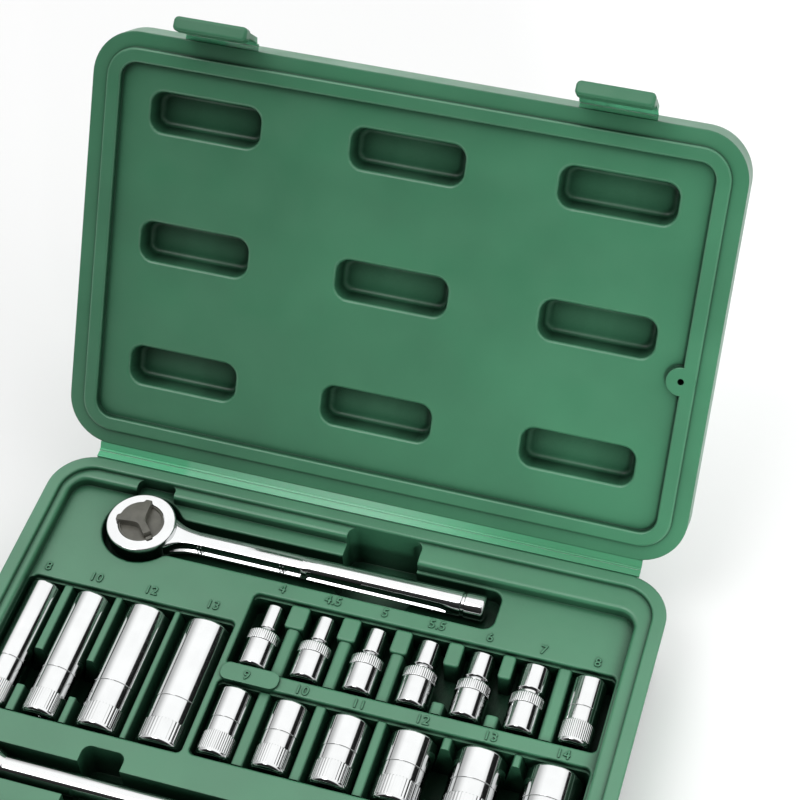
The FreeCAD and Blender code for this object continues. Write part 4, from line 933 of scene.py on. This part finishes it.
def raise_backdrop():
    """Raise a low white wall that casts no light or shadow, so that low views end in white."""
    radius, height, steps = 3.9, 0.45, 96
    corners = []
    for level in (0.0, height):
        for index in range(steps):
            turn = 2 * math.pi * index / steps
            corners.append((radius * math.cos(turn), radius * math.sin(turn), level))
    material, _, shader = new_material("white_backdrop")
    shader.inputs["Base Color"].default_value = (0, 0, 0, 1)
    shader.inputs["Specular IOR Level"].default_value = 0.0
    shader.inputs["Emission Color"].default_value = (1, 1, 1, 1)
    shader.inputs["Emission Strength"].default_value = 1.0
    wall = stage_piece("backdrop", corners, ring_faces(2, steps), material)
    wall.visible_diffuse = False
    wall.visible_shadow = False


def tent_level(tree, place, axis, stops):
    """Grade the tent's brightness by how far a direction points along an axis."""
    lean = tree.nodes.new("ShaderNodeVectorMath")
    lean.operation = "DOT_PRODUCT"
    lean.inputs[1].default_value = axis.normalized()
    ramp = tree.nodes.new("ShaderNodeValToRGB")
    bands = ramp.color_ramp.elements
    while len(bands) < len(stops):
        bands.new(0.5)
    for band, (height, level) in zip(bands, stops):
        band.position = height
        band.color = (level, level, level, 1)
    tree.links.new(place.outputs["Generated"], lean.inputs[0])
    tree.links.new(lean.outputs["Value"], ramp.inputs["Fac"])
    return ramp.outputs["Color"]


def light_world():
    """Surround the scene with a white tent, open in front, with a dark card at the right."""
    world = bpy.data.worlds.new("studio")
    bpy.context.scene.world = world
    world.use_nodes = True
    tree = world.node_tree
    place = tree.nodes.new("ShaderNodeTexCoord")
    back = tree.nodes["Background"]
    overhead = [(0.0, 0.02), (0.17, 0.02), (0.21, 0.42), (0.42, 0.52), (0.60, 0.82), (0.74, 1.0),
                (1.0, 1.0)]
    opening = [(0.0, 1.0), (0.45, 1.0), (0.72, 0.03), (1.0, 0.03)]
    card = [(0.0, 1.0), (0.976, 1.0), (0.983, 0.02), (1.0, 0.02)]
    front, right = Vector((-0.10, -0.93, 0.35)), Vector((0.78, 0.47, 0.41))
    level = tent_level(tree, place, Vector((0, 0, 1)), overhead)
    for axis, stops in ((front, opening), (right, card)):
        level = multiplied_colour(tree, level, tent_level(tree, place, axis, stops))
    tree.links.new(level, back.inputs["Color"])
    back.inputs["Strength"].default_value = bpy.context.scene.socket_stage.sky_power


def aimed_lamp(data, place, target):
    """Put a lamp in place and point it at a target."""
    lamp = bpy.data.objects.new(data.name, data)
    lamp.location = place
    lamp.rotation_mode = "QUATERNION"
    lamp.rotation_quaternion = (target - place).to_track_quat("-Z", "Y")
    bpy.context.scene.collection.objects.link(lamp)
    return lamp


def hang_key_light():
    """Hang a far, wide light overhead, a little to the front left."""
    look = bpy.context.scene.socket_stage
    data = bpy.data.lights.new("key_light", "SUN")
    data.energy = look.key_power
    data.angle = look.key_spread
    aimed_lamp(data, Vector((-0.30, -0.35, 0.88)), Vector((0, 0, 0)))


def stand_side_light():
    """Stand a soft light at the front right that fades out across the lid."""
    place, lid_end = Vector((0.50, -0.75, 0.45)), Vector((0.14, 0.10, 0.07))
    data = bpy.data.lights.new("side_light", "SPOT")
    data.energy = bpy.context.scene.socket_stage.side_power
    data.spot_size = math.radians(21)
    data.spot_blend = 1.0
    data.shadow_soft_size = 0.12
    lamp = aimed_lamp(data, place, lid_end)
    lamp.visible_camera = False
    lamp.visible_glossy = False


def aim_camera():
    """Stand the camera where the picture was taken from."""
    stand = (0.1663, -0.3357, 0.6208)
    right = Vector((0.954926, 0.294081, -0.040406))
    down = Vector((0.199924, -0.737775, -0.644762))
    ahead = Vector((-0.219423, 0.607622, -0.763314))
    data = bpy.data.cameras.new("camera")
    data.lens = bpy.context.scene.socket_stage.lens
    data.sensor_width = 36.0
    camera = bpy.data.objects.new("camera", data)
    turn = Matrix((right, -down, -ahead)).transposed().to_4x4()
    camera.matrix_world = Matrix.Translation(stand) @ turn
    bpy.context.scene.collection.objects.link(camera)
    bpy.context.scene.camera = camera


# Operators

class FinishCase(bpy.types.Operator):
    """Give the case, its films and latches their finishes"""
    bl_idname = "socketset.finish_case"
    bl_label = "Finish case"

    def execute(self, context):
        ridges = ("row_one_ridges", "row_two_ridges", "deep_row_ridges")
        for node in ("case_base", "case_lid", *ridges):
            paint_node(node, "moulded_green")
        for node in ("latch_left", "latch_right"):
            paint_node(node, "latch_green")
        for node in ("hinge_film_base", "hinge_film_lid", "latch_film_left", "latch_film_right"):
            paint_node(node, "film_green")
        return {"FINISHED"}


class RaiseNumbers(bpy.types.Operator):
    """Raise the size numbers beside the pockets"""
    bl_idname = "socketset.raise_numbers"
    bl_label = "Raise numbers"

    def execute(self, context):
        spots = [(text, x, ROW_ONE_LINE, TRAY_TOP) for text, x in ROW_ONE_NUMBERS]
        spots += [(text, x, ROW_TWO_LINE, TRAY_TOP) for text, x in ROW_TWO_NUMBERS]
        spots += [(text, x, DEEP_LINE, TRAY_TOP) for text, x in DEEP_NUMBERS]
        text, x, top = ISLAND_NUMBER
        spots.append((text, x, ROW_TWO_LINE, top))
        for index, spot in enumerate(spots):
            name = "pocket_number_%02d" % index
            new_piece(name, number_mesh(*spot), finish("moulded_green"), "case")
        return {"FINISHED"}


class TurnSmallSockets(bpy.types.Operator):
    """Turn the sockets that have a thin nose"""
    bl_idname = "socketset.turn_small_sockets"
    bl_label = "Turn small sockets"

    def execute(self, context):
        for key in SMALL:
            make_socket("socket_" + key, small_socket_rings(key))
        return {"FINISHED"}


class TurnSockets(bpy.types.Operator):
    """Turn the straight sockets, standard and deep"""
    bl_idname = "socketset.turn_sockets"
    bl_label = "Turn straight sockets"

    def execute(self, context):
        for key in STANDARD:
            rings = plain_socket_rings(key, SOCKET_LENGTH, LINE_SHARE, BAND_LENGTH)
            make_socket("socket_" + key, rings)
        for key in DEEP:
            rings = plain_socket_rings(key, DEEP_LENGTH, DEEP_LINE_SHARE, DEEP_BAND_LENGTH)
            make_socket("deep_socket_" + key, rings)
        return {"FINISHED"}


class ForgeRatchet(bpy.types.Operator):
    """Make the ratchet's head, neck and grip"""
    bl_idname = "socketset.forge_ratchet"
    bl_label = "Forge ratchet"

    def execute(self, context):
        chrome = finish("bright_chrome")
        head_mesh = turned_mesh("ratchet_head", head_rings(), Matrix.Translation(HEAD))
        head = new_piece("ratchet_head", head_mesh, chrome, "ratchet")
        shaft = new_piece("ratchet_shaft", handle_mesh(), chrome, "ratchet")
        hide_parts("ratchet_handle")
        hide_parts("ratchet_handle")
        for node in ("drive_anvil", "retaining_ring", "pawl_pin", "drive_ball"):
            paint_node(node, "bright_chrome")
        for node in ("pawl", "selector_plunger", "plunger_spring", "drive_ball_spring"):
            paint_node(node, "oiled_steel")
        return {"FINISHED"}


class MouldDial(bpy.types.Operator):
    """Make the direction dial with its fan and thumb arm"""
    bl_idname = "socketset.mould_dial"
    bl_label = "Mould dial"

    def execute(self, context):
        piece = new_piece("dial_fan", dial_mesh(), finish("dial_grey"), "selector")
        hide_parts("selector_dial")
        return {"FINISHED"}


class TurnBars(bpy.types.Operator):
    """Turn the two extension bars"""
    bl_idname = "socketset.turn_bars"
    bl_label = "Turn extension bars"

    def execute(self, context):
        for node, length in (("long_extension", LONG_BAR), ("short_extension", SHORT_BAR)):
            make_bar(node, length)
            paint_node(node + "_ball", "bright_chrome")
            paint_node(node + "_spring", "oiled_steel")
        return {"FINISHED"}


class SetStage(bpy.types.Operator):
    """Lay the floor and set the light and camera"""
    bl_idname = "socketset.set_stage"
    bl_label = "Set stage"

    def execute(self, context):
        lay_floor()
        raise_backdrop()
        light_world()
        hang_key_light()
        stand_side_light()
        aim_camera()
        context.scene.view_settings.view_transform = "Standard"
        return {"FINISHED"}


# Panel and registration

class SocketSetPanel(bpy.types.Panel):
    """Sidebar list of the steps and settings"""
    bl_idname = "VIEW3D_PT_socketset"
    bl_label = "Socket set"
    bl_space_type = "VIEW_3D"
    bl_region_type = "UI"
    bl_category = "Socket set"

    def draw(self, context):
        for step in STEPS:
            self.layout.operator(step.bl_idname)
        for group, look in LOOKS:
            for name in look.__annotations__:
                self.layout.prop(getattr(context.scene, group), name)


LOOKS = [("socket_case", CaseLook), ("socket_numbers", NumberLook), ("socket_tools", ToolLook),
         ("socket_stage", StageLook)]
STEPS = [FinishCase, RaiseNumbers, TurnSmallSockets, TurnSockets, ForgeRatchet, MouldDial,
         TurnBars, SetStage]


def register():
    """Add the settings, steps and panel to Blender."""
    for name, look in LOOKS:
        bpy.utils.register_class(look)
        setattr(bpy.types.Scene, name, PointerProperty(type=look))
    for step in STEPS:
        bpy.utils.register_class(step)
    bpy.utils.register_class(SocketSetPanel)


def unregister():
    """Take the settings, steps and panel out of Blender."""
    bpy.utils.unregister_class(SocketSetPanel)
    for step in reversed(STEPS):
        bpy.utils.unregister_class(step)
    for name, look in reversed(LOOKS):
        delattr(bpy.types.Scene, name)
        bpy.utils.unregister_class(look)


def main():
    """Run every step in order."""
    register()
    bpy.ops.socketset.finish_case()
    bpy.ops.socketset.raise_numbers()
    bpy.ops.socketset.turn_small_sockets()
    bpy.ops.socketset.turn_sockets()
    bpy.ops.socketset.forge_ratchet()
    bpy.ops.socketset.mould_dial()
    bpy.ops.socketset.turn_bars()
    bpy.ops.socketset.set_stage()
    bpy.context.view_layer.update()


if __name__ == "__main__":
    main()
